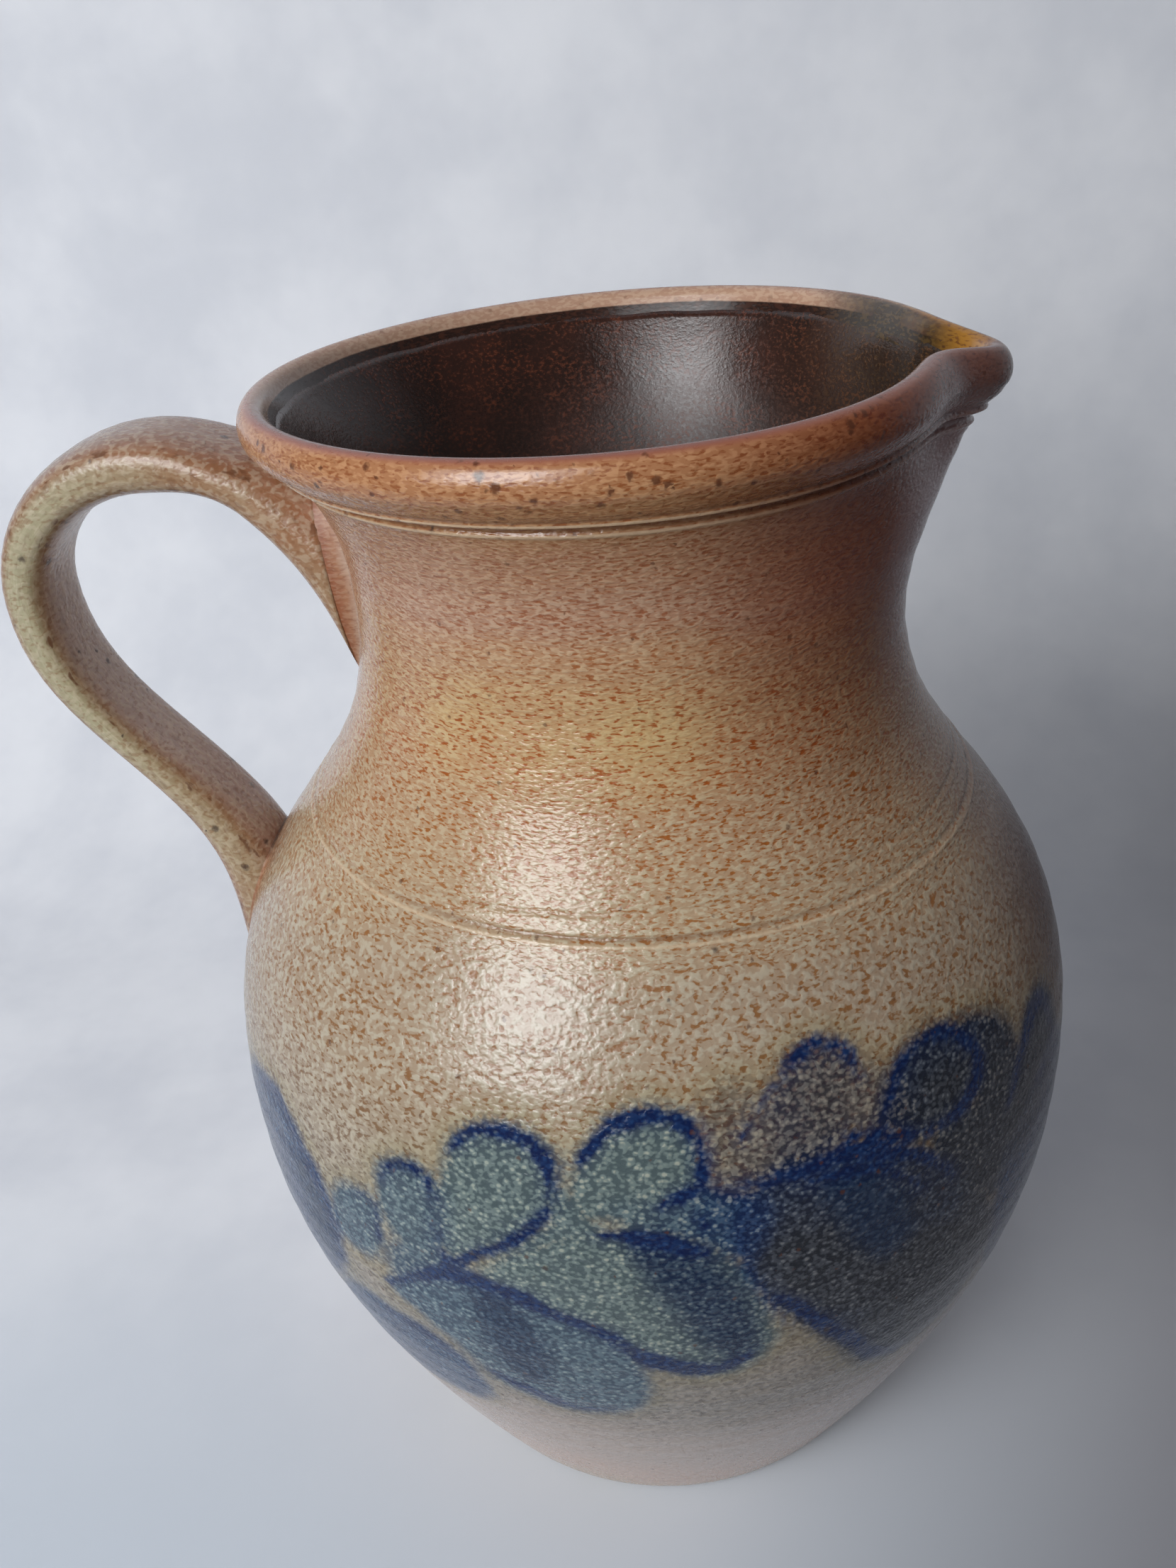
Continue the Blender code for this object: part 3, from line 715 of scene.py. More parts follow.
def ramp(value, stops, curve="LINEAR"):
    node = addNode(treeOf(value), "ValToRGB", {"Fac": value})
    band = node.color_ramp
    band.interpolation = curve
    while len(band.elements) < len(stops):
        band.elements.new(1.0)
    for element, (place, colour) in zip(band.elements, stops):
        element.position = place
        element.color = rgb(*colour)
    return node.outputs["Color"]


def noiseAt(vector, scale, detail=2.0, rough=0.5, distortion=0.0):
    sockets = {"Vector": vector, "Scale": scale, "Detail": detail, "Roughness": rough}
    return addNode(treeOf(vector), "TexNoise", {**sockets, "Distortion": distortion}).outputs["Fac"]


def scaled(vector, by, moved=(0.0, 0.0, 0.0)):
    sockets = {0: vector, 1: by, 2: moved}
    return addNode(treeOf(vector), "VectorMath", sockets, operation="MULTIPLY_ADD").outputs[0]


def axes(vector):
    return addNode(treeOf(vector), "SeparateXYZ", {0: vector}).outputs


def attribute(tree, name, output="Fac"):
    return addNode(tree, "Attribute", attribute_name=name).outputs[output]


def objectPlace(tree):
    return addNode(tree, "TexCoord").outputs["Object"]


def newGroup(name, ins, outs):
    tree = bpy.data.node_groups.new(name, "ShaderNodeTree")
    for label, value in ins:
        tree.interface.new_socket(label, in_out="INPUT", socket_type="NodeSocketFloat").default_value = value
    for label in outs:
        tree.interface.new_socket(label, in_out="OUTPUT", socket_type="NodeSocketFloat")
    return tree, tree.nodes.new("NodeGroupInput").outputs, tree.nodes.new("NodeGroupOutput").inputs


def useGroup(tree, group, **values):
    return addNode(tree, "Group", values, node_tree=group).outputs


def peelGroup():  # the orange peel of salt glaze: pale beads and short rust dashes on tan
    inputs = (("Cell", 0.0020), ("FlowFrom", 0.160), ("Flow", 0.8))
    tree, given, out = newGroup("saltPeel", inputs, ("Bead", "Rust", "Dot", "Height"))
    split = axes(scaled(objectPlace(tree), (0.86, 0.86, 1.08)))
    over = calc("MAXIMUM", calc("SUBTRACT", split[2], given["FlowFrom"]), 0.0)
    tall = calc("MULTIPLY_ADD", over, given["Flow"], split[2])
    flat = addNode(tree, "CombineXYZ", {0: split[0], 1: split[1], 2: tall}).outputs[0]
    scale = calc("DIVIDE", 2.0, given["Cell"])
    beads = noiseAt(flat, scale, 0.8, 0.5, 0.3)
    dashed = scaled(flat, (0.82, 0.82, 1.25), (0.31, 0.17, 0.53))
    dashes = noiseAt(dashed, times(scale, 1.05), 1.5, 0.5, 0.4)
    drops = addNode(tree, "TexVoronoi", {"Vector": flat, "Scale": scale}).outputs["Distance"]
    bead = fade(beads, 0.46, 0.63)
    rust = times(fade(dashes, 0.50, 0.65), fade(bead, 0.0, 1.0, 1.0, 0.2))
    tree.links.new(bead, out["Bead"])
    tree.links.new(rust, out["Rust"])
    tree.links.new(fade(drops, 0.15, 0.62, 1.0, 0.0), out["Dot"])
    tree.links.new(calc("MULTIPLY_ADD", dashes, -0.25, beads), out["Height"])
    return tree


def speckGroup():  # iron specks burnt out of the clay
    inputs = (("Spacing", 0.008), ("Size", 0.0008), ("Share", 0.5))
    tree, given, out = newGroup("ironSpecks", inputs, ("Speck",))
    place = objectPlace(tree)
    wobble = addNode(tree, "TexNoise", {"Vector": place, "Scale": 1300.0}).outputs["Color"]
    moved = addNode(tree, "VectorMath", {0: scaled(wobble, (0.0011,) * 3), 1: place}).outputs[0]
    scale = calc("DIVIDE", 1.0, given["Spacing"])
    cells = addNode(tree, "TexVoronoi", {"Vector": moved, "Scale": scale}).outputs
    pick = axes(cells["Color"])
    size = times(times(given["Size"], scale), fade(pick[1], 0, 1, 0.35, 1.3, "LINEAR"))
    dot = fade(calc("DIVIDE", cells["Distance"], size), 0.45, 1.2, 1.0, 0.0)
    tree.links.new(times(dot, calc("LESS_THAN", pick[0], given["Share"])), out["Speck"])
    return tree


saltPeel, ironSpecks = peelGroup(), speckGroup()


def newMaterial(name):
    material = bpy.data.materials.new(name)
    material.use_nodes = True
    tree = material.node_tree
    return material, tree, tree.nodes["Principled BSDF"], objectPlace(tree)


def finishGlaze(shader, colour, roughness, relief, deep):
    tree = treeOf(colour)
    bump = addNode(tree, "Bump", {"Height": relief, "Strength": 1.0, "Distance": deep})
    for key, socket in (("Base Color", colour), ("Roughness", roughness), ("Normal", bump.outputs[0])):
        tree.links.new(socket, shader.inputs[key])


glaze = {
    # height in metres, colour of the beads, colour of the rust between them
    "zones": (
        (0.000, (190, 162, 126), (178, 148, 110)),
        (0.005, (182, 158, 134), (168, 142, 118)),
        (0.016, (190, 158, 138), (172, 142, 124)),
        (0.040, (182, 164, 152), (158, 140, 128)),
        (0.066, (151, 142, 131), (104, 96, 88)),
        (0.100, (174, 162, 142), (114, 94, 72)),
        (0.138, (179, 167, 147), (138, 96, 58)),
        (0.150, (186, 171, 144), (150, 98, 52)),
        (0.162, (188, 168, 138), (150, 86, 32)),
        (0.174, (192, 167, 131), (154, 80, 28)),
        (0.186, (190, 162, 124), (147, 78, 34)),
        (0.194, (187, 157, 124), (147, 88, 48)),
        (0.202, (184, 152, 126), (142, 83, 52)),
        (0.212, (180, 143, 112), (137, 77, 41)),
        (0.222, (188, 144, 104), (142, 80, 38)),
        (0.230, (184, 136, 98), (134, 74, 38)),
    ),
    "honeyTurn": -100, "honey": (196, 168, 114),  # degrees round to a patch or a side, and its colour
    "flashTurn": -22, "flashAndShade": (188, 128, 102),   # the side that faced the flame, browner, and painted shade there, as it is turned from the window
    # painted shade on the belly and a painted pale reflection on the neck, on the side away from the window
    "leeTurn": 2, "leeBellyShade": (150, 114, 102), "leeNeckReflection": (190, 160, 160),
    "burr": (208, 186, 156), "groove": (108, 68, 40), "peelDeep": 0.00020,
    "fineSpecks": {"Spacing": 0.0034, "Size": 0.00042, "Share": 0.7}, "fineSpeck": (84, 48, 30),
    "largeSpecks": {"Spacing": 0.015, "Size": 0.00085, "Share": 0.6}, "largeSpeck": (58, 46, 44),
    # round the handle
    "rootPaleBand": (192, 176, 166), "tailFlush": ((136, 88, 58), (180, 142, 110)), "tailCreviceShade": (66, 44, 36),
}
rimGlaze = {
    "round": (  # from the rim's outside (0.4) over the crest to the inside (0.85); the darkest stops past the crest are painted shade, the pale stop at 0.80 a painted highlight on the inner edge
        (0.42, (170, 112, 78)), (0.49, (158, 99, 77)), (0.58, (136, 81, 66)), (0.66, (112, 66, 52)),
        (0.72, (140, 98, 80)), (0.80, (186, 156, 130)), (0.90, (150, 108, 84)), (1.0, (92, 56, 40)),
    ),
    "far": ((178, 140, 117), (194, 161, 137)),  # painted light: a paler copy of the crest where it faces the window
    "specks": {"Spacing": 0.0027, "Size": 0.00070, "Share": 0.7}, "speck": (86, 46, 28),
    "linerRun": ((44, 27, 21), (62, 37, 28)), "nearSpout": ((108, 72, 62), (74, 40, 32)),
    "spoutRust": (122, 72, 44), "spoutGold": ((162, 112, 42), (112, 66, 24)),
    "spoutRun": ((44, 34, 20), (76, 58, 30)),
}
cobalt = {
    "stops": (  # leaf tone, and its colour in the hollows, between and on the beads
        (0.0, (84, 96, 93), (120, 132, 124), (162, 168, 152)),
        (0.45, (40, 60, 86), (72, 96, 116), (116, 136, 146)),
        (0.72, (18, 36, 72), (42, 64, 100), (82, 106, 134)),
        # painted shade: the dark grey at 1 stands for shade on the leaves turned from the window
        (1.0, (36, 39, 46), (68, 71, 78), (104, 106, 110)),
    ),
    "halo": (216, 218, 190), "pool": ((20, 36, 62), (46, 68, 96)), "stroke": ((12, 28, 68), (32, 60, 104)),
}


def zoneRamps(height):  # colours of the beads and of the rust
    top = glaze["zones"][-1][0]
    share = calc("DIVIDE", height, top)
    return (ramp(share, [(zone[0] / top, zone[part]) for zone in glaze["zones"]], "EASE") for part in (1, 2))


def facingTo(place, degrees):  # 1 on the side of the pot that looks that way, -1 opposite
    tree, turn = treeOf(place), math.radians(degrees)
    flat = addNode(tree, "VectorMath", {0: scaled(place, (1.0, 1.0, 0.0))}, operation="NORMALIZE")
    sockets = {0: flat.outputs[0], 1: (math.cos(turn), math.sin(turn), 0.0)}
    return addNode(tree, "VectorMath", sockets, operation="DOT_PRODUCT").outputs["Value"]


def grainy(mask, bead, share):  # a stain that fills the hollows first and the beads last
    return calc("MULTIPLY_ADD", bead, -share, times(mask, 1 + share), clamp=True)


def zoneColour(place, level, peel, clouds, pale):  # by height, with the borders of the zones wandering
    drift = noiseAt(place, 9.0, 2.0, 0.5)
    tooled = attribute(treeOf(place), "tooled")
    beads, rusts = zoneRamps(swayed(swayed(level, drift, 0.030), clouds, 0.014))
    honey, flameAndShade, lee = (
        fade(facingTo(place, glaze[side]), low, 1.0)
        for side, low in (("honeyTurn", 0.80), ("flashTurn", 0.45), ("leeTurn", 0.80))
    )
    honey = times(times(honey, bandAt(level, 0.181, 0.014)), fade(clouds, 0.35, 0.65, 0.2, 0.7))
    return painted(
        mixed(pale, mixed(0.58, rusts, beads), beads),
        (honey, glaze["honey"]),
        (times(peel["Rust"], fade(drift, 0.3, 0.7, 1.1, 0.75)), rusts),
        # lines left by the tool: bare and pale on the burrs, brown in the grooves, with a painted highlight
        # on the burrs and painted shade in the grooves
        (fade(tooled, 0.15, 0.9, 0.0, 0.65), glaze["burr"]),
        (fade(tooled, -0.15, -0.9, 0.0, 0.5), glaze["groove"]),
        # thin wash of glaze on the lower body, where little salt settled
        (fade(level, 0.018, 0.058, 0.75, 0.0), mixed(0.65, rusts, beads)),
        # browner towards the neck where the flame was, and painted shade there on the side turned from the
        # window
        (times(flameAndShade, fade(level, 0.150, 0.208, 0.12, 0.95)), glaze["flashAndShade"], "MULTIPLY"),
        # painted shade on the belly away from the window, and a painted pale reflection along its neck
        (times(lee, bandAt(level, 0.132, 0.046)), glaze["leeBellyShade"], "MULTIPLY"),
        (times(lee, bandAt(level, 0.202, 0.030)), glaze["leeNeckReflection"]),
    )


def rimColour(colour, place, level, lip, peel, clouds):
    x, y = axes(place)[:2]
    lipShare = fade(lip, -60, 180, 0, 1, "LINEAR")
    wander = swayed(lipShare, clouds, 0.12)
    toWindow = fade(calc("MULTIPLY_ADD", x, -0.5, y), -0.005, 0.025)
    windowLitCrest = mixed(fade(peel["Height"], 0.30, 0.45), *rimGlaze["far"])
    # painted light: the crest paler on the side that faces the window
    pale = times(toWindow, fade(wander, 0.56, 0.70, 0.35, 0.85))
    crest = mixed(pale, ramp(lipShare, rimGlaze["round"]), windowLitCrest)
    runUp = fade(swayed(lipShare, clouds, 0.05), 0.895, 0.912)

    atRim = fade(level, 0.2185, 0.2225)
    farSpout = times(times(fade(x, 0.034, 0.046), fade(y, -0.004, 0.006)), atRim)
    nearSpout = calc("SUBTRACT", times(fade(x, 0.046, 0.068), atRim), farSpout, clamp=True)
    nearSpout = times(nearSpout, fade(lipShare, 0.70, 0.80, 1.0, 0.35))
    gold = mixed(peel["Rust"], *rimGlaze["spoutGold"])
    gold = mixed(fade(x, 0.042, 0.054), rimGlaze["spoutRust"], gold)
    runny = times(fade(wander, 0.62, 0.72), fade(x, 0.053, 0.060, 1.0, 0.1))
    ochre = mixed(runny, gold, mixed(peel["Bead"], *rimGlaze["spoutRun"]))
    specks = useGroup(treeOf(place), ironSpecks, **rimGlaze["specks"])["Speck"]
    specks = times(specks, fade(level, 0.2100, 0.2220, 0.0, 0.85))
    return painted(
        colour,
        # rust on the crest where the glaze ran thin, with painted shade and painted light on it, and the
        # liner's brown where it ran up
        (fade(wander, 0.44, 0.56), crest),
        (runUp, mixed(peel["Bead"], *rimGlaze["linerRun"])),
        # brown on the near side of the spout, ochre with dark runs on its far side
        (times(nearSpout, 0.8), mixed(peel["Rust"], *rimGlaze["nearSpout"])),
        (times(farSpout, fade(clouds, 0.3, 0.6, 0.75, 1.0)), ochre),
        # brown specks, fewer over the crest
        (times(specks, fade(lipShare, 0.50, 0.64, 1.0, 0.35)), rimGlaze["speck"]),
    )


def rootColour(colour, level, clouds, pale):  # a paler band on the neck round the upper joint, a rust flush and painted shade in the crevice at the tail
    rootGap, tailGap = (attribute(treeOf(colour), name) for name in ("rootGap", "tailGap"))
    flush = times(fade(tailGap, 1.0, 14.0, 0.8, 0.0), fade(clouds, 0.3, 0.65, 0.35, 1.0))
    return painted(
        colour,
        (fade(rootGap, 0.2, 6.0, 0.85, 0.0), glaze["rootPaleBand"]),
        (flush, mixed(pale, *glaze["tailFlush"])),
        # painted shade in the crevice at the top of the tail
        (times(fade(tailGap, 0.3, 2.4, 0.85, 0.0), fade(level, 0.140, 0.150)), glaze["tailCreviceShade"]),
    )


def leafColour(colour, place, peel, clouds):  # cobalt under the salt: washes, pools and dark brush edges
    names = ("leafWash", "leafTone", "leafSolid", "leafBloom", "leafDark")
    washAt, tone, solid, bloom, drawnAt = (attribute(treeOf(place), name) for name in names)
    bead = calc("MULTIPLY_ADD", peel["Dot"], 0.6, times(peel["Bead"], 0.4))
    ragged = times(calc("SUBTRACT", peel["Height"], 0.375), 2.0)
    rough = swayed(ragged, noiseAt(place, 190.0, 2.0, 0.5), 2.6)
    washEdge = calc("ADD", washAt, rough)

    wash = times(fade(washEdge, -3.8, 2.4), solid)
    halo = times(fade(washAt, -6.5, -0.5), calc("SUBTRACT", 1.0, wash))
    cloudy = times(tone, fade(clouds, 0.3, 0.7, 0.9, 1.1))
    hollows, between, tops = (
        ramp(cloudy, [(stop[0], stop[part]) for stop in cobalt["stops"]]) for part in (1, 2, 3)
    )
    stain = painted(hollows, (fade(bead, 0.0, 0.5), between), (fade(bead, 0.5, 1.0), tops))

    pooled = fade(calc("MULTIPLY_ADD", rough, 0.08, bloom), 0.05, 0.95, 0.0, 0.74)
    pooled = times(pooled, fade(washEdge, -1.5, 1.5))
    drawn = calc("MULTIPLY_ADD", rough, 0.9, drawnAt)
    bled = times(fade(drawn, -3.6, 0.0, 0.0, 0.30), fade(washEdge, -1.0, 1.4))
    inked = calc("MAXIMUM", bled, fade(drawn, -1.7, 1.2, 0.0, 0.96))
    return painted(
        colour,
        (times(halo, 0.6), cobalt["halo"], "MULTIPLY"),
        (grainy(wash, bead, 0.45), stain),
        (grainy(pooled, bead, 0.35), mixed(bead, *cobalt["pool"])),
        (grainy(inked, bead, 0.45), mixed(bead, *cobalt["stroke"])),
    )


def bodyMaterial():
    material, tree, shader, place = newMaterial("saltGlazedBody")
    level, lip = attribute(tree, "level"), attribute(tree, "lip")
    peel = useGroup(tree, saltPeel)
    clouds = noiseAt(place, 28.0, 3.0, 0.55)
    pale = times(peel["Bead"], fade(clouds, 0.3, 0.7, 0.75, 1.1))
    colour = zoneColour(place, level, peel, clouds, pale)
    colour = rimColour(colour, place, level, lip, peel, clouds)
    colour = rootColour(colour, level, clouds, pale)
    colour = leafColour(colour, place, peel, clouds)
    fine, large = (useGroup(tree, ironSpecks, **glaze[key])["Speck"] for key in ("fineSpecks", "largeSpecks"))
    colour = painted(
        colour, (times(fine, 0.65), glaze["fineSpeck"]), (times(large, 0.85), glaze["largeSpeck"])
    )
    peelHigh = times(fade(level, 0.02, 0.06, 0.25, 1.0), fade(lip, -60, 60, 0.9, 0.10))
    roughness = fade(peel["Rust"], 0, 1, 0.17, 0.28, "LINEAR")
    finishGlaze(shader, colour, roughness, times(peel["Height"], peelHigh), glaze["peelDeep"])
    return material


strapGlaze = {
    "round": (  # from the palm face (0) over the strap's edge to its back (1)
        (0.0, (186, 168, 160)), (0.06, (180, 156, 142)), (0.12, (156, 128, 100)), (0.22, (166, 154, 122)),
        (0.45, (174, 168, 138)), (0.66, (170, 160, 132)), (0.79, (150, 120, 96)), (0.89, (146, 118, 102)),
        (1.0, (156, 142, 132)),
    ),
    "rust": (146, 90, 56), "rustFrom": -0.108, "rustTo": -0.070, "streakDeep": 0.00014,
    "streakDark": (118, 88, 66), "streakPale": (200, 186, 164), "dash": (100, 62, 40),
    "bead": (204, 190, 166), "peelRust": (130, 88, 58),
    "specks": {"Spacing": 0.0048, "Size": 0.00080, "Share": 0.65}, "speck": (60, 46, 42),
}


def handleMaterial():
    material, tree, shader, place = newMaterial("saltGlazedHandle")
    x, y, z = axes(place)
    deep, along = axes(attribute(tree, "strap", "Vector"))[1:]
    face = fade(deep, -1, 1, 0, 1, "LINEAR")
    peel = useGroup(tree, saltPeel, FlowFrom=1.0)
    clouds = noiseAt(place, 60.0, 3.0, 0.55)
    grain = addNode(tree, "CombineXYZ", {0: y, 1: face, 2: along}).outputs[0]
    streak = noiseAt(scaled(grain, (520.0, 8.0, 70.0)), 1.0, 2.5, 0.6, 0.4)
    dashes = noiseAt(scaled(grain, (640.0, 8.0, 300.0)), 1.0, 2.0, 0.5)

    root = fade(x, strapGlaze["rustFrom"], strapGlaze["rustTo"])
    rusted = times(times(root, fade(z, 0.150, 0.170, 0.65, 0.85)), fade(clouds, 0.3, 0.7, 0.65, 1.0))
    edges = calc("MAXIMUM", bandAt(face, 0.80, 0.10), bandAt(face, 0.18, 0.12))
    specks = useGroup(tree, ironSpecks, **strapGlaze["specks"])["Speck"]
    colour = painted(
        ramp(swayed(face, clouds, 0.08), strapGlaze["round"]),
        (rusted, strapGlaze["rust"]),
        (fade(streak, 0.32, 0.60, 0.16, 0.0), strapGlaze["streakDark"]),
        (fade(streak, 0.46, 0.75, 0.0, 0.16), strapGlaze["streakPale"]),
        (times(peel["Bead"], 0.30), strapGlaze["bead"]),
        (times(peel["Rust"], 0.45), strapGlaze["peelRust"]),
        (times(fade(dashes, 0.57, 0.68), fade(edges, 0, 1, 0.25, 0.85, "LINEAR")), strapGlaze["dash"]),
        (times(specks, 0.8), strapGlaze["speck"]),
    )
    roughness = fade(streak, 0.3, 0.7, 0.20, 0.32, "LINEAR")
    relief = calc("MULTIPLY_ADD", streak, 0.4, peel["Height"])
    finishGlaze(shader, colour, roughness, relief, strapGlaze["streakDeep"])
    return material


slipGlaze = {  # colours from the wall (0) to the strap (1)
    "upper": ((0.0, (172, 142, 122)), (0.25, (156, 108, 78)), (0.55, (140, 84, 54)), (1.0, (136, 84, 52))),
    "lower": ((0.0, (156, 116, 86)), (0.4, (146, 102, 74)), (1.0, (138, 96, 70))),
    "creviceShade": (54, 38, 30), "rust": (120, 70, 44), "pale": (194, 168, 142),
}


def slipMaterial():
    material, tree, shader, place = newMaterial("lutingSlip")
    high = fade(axes(place)[2], 0.155, 0.165)
    seam = axes(attribute(tree, "seam", "Vector"))
    peel = useGroup(tree, saltPeel)
    smear = noiseAt(place, 160.0, 3.0, 0.6)
    across = swayed(seam[0], smear, 0.30)
    upper, lower = (ramp(across, slipGlaze[end]) for end in ("upper", "lower"))
    colour = painted(
        lower,
        # painted shade in the crevice on the palm side of the joint
        (fade(seam[1], -0.55, -0.95, 0.0, 0.8), slipGlaze["creviceShade"]),
        (high, upper),
        (times(peel["Rust"], 0.45), slipGlaze["rust"]),
        (times(peel["Bead"], 0.18), slipGlaze["pale"]),
    )
    relief = calc("MULTIPLY_ADD", smear, 0.3, times(peel["Height"], 0.4))
    finishGlaze(shader, colour, fade(smear, 0.3, 0.7, 0.42, 0.56, "LINEAR"), relief, glaze["peelDeep"])
    return material


linerGlaze = {
    "dark": (40, 25, 20), "brown": (60, 34, 26), "fleck": (104, 54, 34),
    "olive": ((40, 33, 20), (70, 58, 28)), "edge": (98, 56, 36), "ripple": 0.00008,
}


def linerMaterial():
    material, tree, shader, place = newMaterial("brownLiner")
    belowEdge = attribute(tree, "belowEdge")
    flecks = noiseAt(scaled(place, (1.0, 1.0, 1.4)), 1250.0, 2.5, 0.6)
    clouds = noiseAt(place, 45.0, 3.0, 0.6)
    patches = noiseAt(place, 130.0, 2.0, 0.5)
    spoutSide = times(fade(axes(place)[0], 0.022, 0.060), fade(clouds, 0.25, 0.75, 0.35, 0.9))
    thin = fade(calc("MULTIPLY_ADD", clouds, 0.0012, belowEdge), 0.0016, 0.0002, 0.0, 0.7)
    colour = painted(
        mixed(fade(clouds, 0.3, 0.7), linerGlaze["dark"], linerGlaze["brown"]),
        (times(fade(flecks, 0.46, 0.70), fade(patches, 0.36, 0.62, 0.2, 0.75)), linerGlaze["fleck"]),
        (spoutSide, mixed(fade(flecks, 0.46, 0.66), *linerGlaze["olive"])),
        (thin, linerGlaze["edge"]),
    )
    deep = fade(belowEdge, 0.008, 0.030, 0.0, 0.30)
    roughness = calc("ADD", fade(flecks, 0.3, 0.7, 0.16, 0.30, "LINEAR"), deep)
    relief = calc("MULTIPLY_ADD", patches, 2.0, flecks)
    finishGlaze(shader, colour, roughness, relief, linerGlaze["ripple"])
    return material


handleMesh, rings = pullHandle()
upperMesh, upperEdge = slipJoint("upperSlip", rings, slip["upper"])
lowerMesh, lowerEdge = slipJoint("lowerSlip", rings[::-1], slip["lower"])
bodyMesh = throwBody()
brushMarks(bodyMesh)
markRoots(bodyMesh, {"rootGap": upperEdge, "tailGap": lowerEdge})
slipFinish = slipMaterial()
placePiece("thrownBody", bodyMesh, bodyMaterial(), "salt_glazed_body", "thrown_body")
placePiece("pulledHandle", handleMesh, handleMaterial(), "salt_glazed_handle", "pulled_handle")
placePiece("upperSlip", upperMesh, slipFinish, "luting_slip", "upper_slip_joint")
placePiece("lowerSlip", lowerMesh, slipFinish, "luting_slip", "lower_slip_joint")
placePiece("linerGlaze", pourLiner(), linerMaterial(), "brown_liner", "liner_glaze")
for mesh in (upperMesh, lowerMesh):
    mesh.set_sharp_from_angle(angle=math.radians(50))

studio = {
    "clothBack": 0.30, "clothCurve": 0.16, "clothHalf": 2.0, "clothFront": -2.0, "clothTop": 1.6,
    "clothPale": (237, 238, 242), "clothShade": (221, 223, 229), "clothNearShade": (206, 213, 222),
    "clothRightShade": (138, 136, 140), "clothFarShade": (96, 94, 94),
    "windows": (  # azimuth, elevation, distance, width, height, power: a bright pane in a softer frame
        (-121, 31, 1.1, 0.46, 0.56, 5.5), (-121, 31, 1.12, 0.86, 0.96, 7.5),
    ),
    "windowAim": (0, 0, 0.12), "windowTint": (0.96, 0.98, 1.0),
    "sky": (0.82, 0.87, 0.96), "skyStrength": 0.09, "backdrop": (0.62, 0.63, 0.66),
}


def mixedShaders(amount, first, second):
    return addNode(treeOf(amount), "MixShader", {0: amount, 1: first, 2: second}).outputs[0]


def clothMaterial():
    material, tree, shader, place = newMaterial("paleCloth")
    x, y, z = axes(place)
    seen = addNode(tree, "LightPath").outputs["Is Camera Ray"]
    weave = noiseAt(place, 14.0, 4.0, 0.6)
    aside = calc("MULTIPLY_ADD", y, -0.4, x)
    colour = painted(
        mixed(fade(weave, 0.3, 0.7), studio["clothShade"], studio["clothPale"]),
        # painted shade: darker towards the front
        (fade(y, 0.06, -0.08), studio["clothNearShade"]),
        # painted shade: darker to the right, where the pitcher's shadow and the window's falloff are, less up
        # the hanging side
        (times(fade(aside, 0.02, 0.16), fade(z, 0.02, 0.14, 1.0, 0.15)), studio["clothRightShade"]),
        # painted shade: the floor in front darker, but only for the reflections
        (times(fade(y, -0.13, -0.26), calc("SUBTRACT", 1.0, seen)), studio["clothFarShade"]),
    )
    tree.links.new(colour, shader.inputs["Base Color"])
    shader.inputs["Roughness"].default_value = 0.9
    shader.inputs["Specular IOR Level"].default_value = 0.1

    # the hanging side doesn't hide the pitcher from behind
    behind = addNode(tree, "NewGeometry").outputs["Backfacing"]
    clear = addNode(tree, "BsdfTransparent").outputs[0]
    cloth = mixedShaders(times(behind, seen), shader.outputs[0], clear)

    # outside the photo's frame the floor runs out into the pale backdrop
    out = calc("ABSOLUTE", x)
    edge = calc("MAXIMUM", fade(out, 0.26, 0.44), fade(y, -0.10, -0.32))
    edge = times(edge, fade(z, 0.02, 0.14, 1.0, 0.0))
    edge = calc("MAXIMUM", edge, fade(out, 0.40, 0.62))
    edge = calc("MAXIMUM", edge, fade(z, -0.0003, -0.0007))
    glow = addNode(tree, "Emission", {"Color": (*studio["backdrop"], 1.0)}).outputs[0]
    cloth = mixedShaders(times(edge, seen), cloth, glow)
    tree.links.new(cloth, tree.nodes["Material Output"].inputs["Surface"])
    return material


def stagePiece(name, bm, material):
    item = newPiece(name, meshFrom(name, bm, False), material)


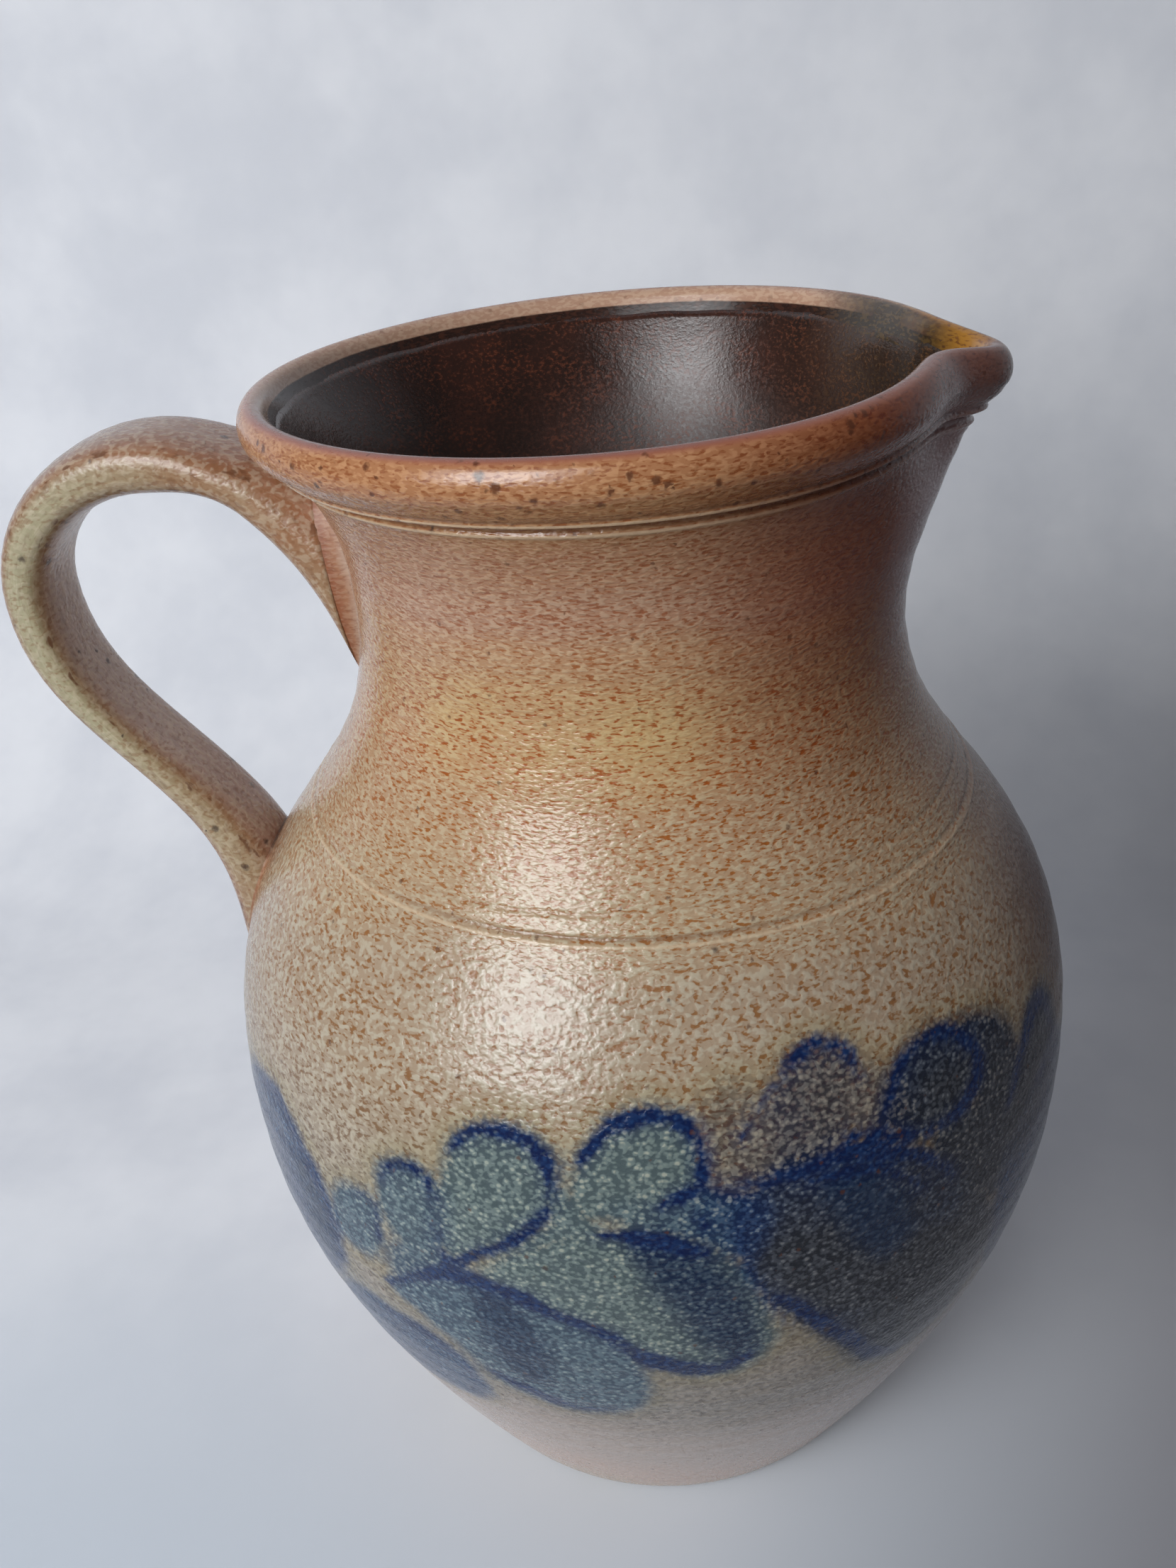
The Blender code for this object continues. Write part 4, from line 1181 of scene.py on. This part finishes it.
def layCloth():
    back, curve, half = studio["clothBack"], studio["clothCurve"], studio["clothHalf"]
    bm = bmesh.new()
    line = [(studio["clothFront"], 0.0), (-0.5, 0.0)]
    for angle in np.linspace(0, math.pi / 2, 24):
        line.append((back - curve + curve * math.sin(angle), curve - curve * math.cos(angle)))
    line.append((back, studio["clothTop"]))
    verts = [bm.verts.new((-half, y, z)) for y, z in line]
    edges = [bm.edges.new(pair) for pair in zip(verts, verts[1:])]
    made = bmesh.ops.extrude_edge_only(bm, edges=edges)["geom"]
    moved = [v for v in made if isinstance(v, bmesh.types.BMVert)]
    bmesh.ops.translate(bm, verts=moved, vec=(half * 2, 0, 0))
    for face in bm.faces:
        if face.normal.z - face.normal.y < 0:
            face.normal_flip()
    material = clothMaterial()
    stagePiece("cloth", bm, material)
    bm = bmesh.new()
    bmesh.ops.create_grid(bm, x_segments=1, y_segments=1, size=half * 1.5)
    bmesh.ops.translate(bm, verts=bm.verts, vec=(0, 0, -0.001))
    stagePiece("floor", bm, material)


def lightStudio():
    for azimuth, elevation, distance, wide, tall, power in studio["windows"]:
        turn, rise = math.radians(azimuth), math.radians(elevation)
        toLight = Vector((math.cos(turn) * math.cos(rise), math.sin(turn) * math.cos(rise), math.sin(rise)))
        lamp = bpy.data.lights.new("window", "AREA")
        lamp.shape = "RECTANGLE"
        lamp.size, lamp.size_y = wide, tall
        lamp.energy = power
        lamp.color = studio["windowTint"]
        item = bpy.data.objects.new("window", lamp)
        item.location = Vector(studio["windowAim"]) + toLight * distance
        item.rotation_euler = toLight.to_track_quat("Z", "Y").to_euler()
        scene.collection.objects.link(item)
    world = bpy.data.worlds.new("room")
    world.use_nodes = True
    tree = world.node_tree
    sky = tree.nodes["Background"]
    sky.inputs["Color"].default_value = (*studio["sky"], 1.0)
    sky.inputs["Strength"].default_value = studio["skyStrength"]
    pale = addNode(tree, "Background", {"Color": (*studio["backdrop"], 1.0)}).outputs[0]
    seen = addNode(tree, "LightPath").outputs["Is Camera Ray"]
    room = mixedShaders(seen, sky.outputs[0], pale)
    tree.links.new(room, tree.nodes["World Output"].inputs["Surface"])
    scene.world = world


layCloth()
lightStudio()
print("cloth and light set")
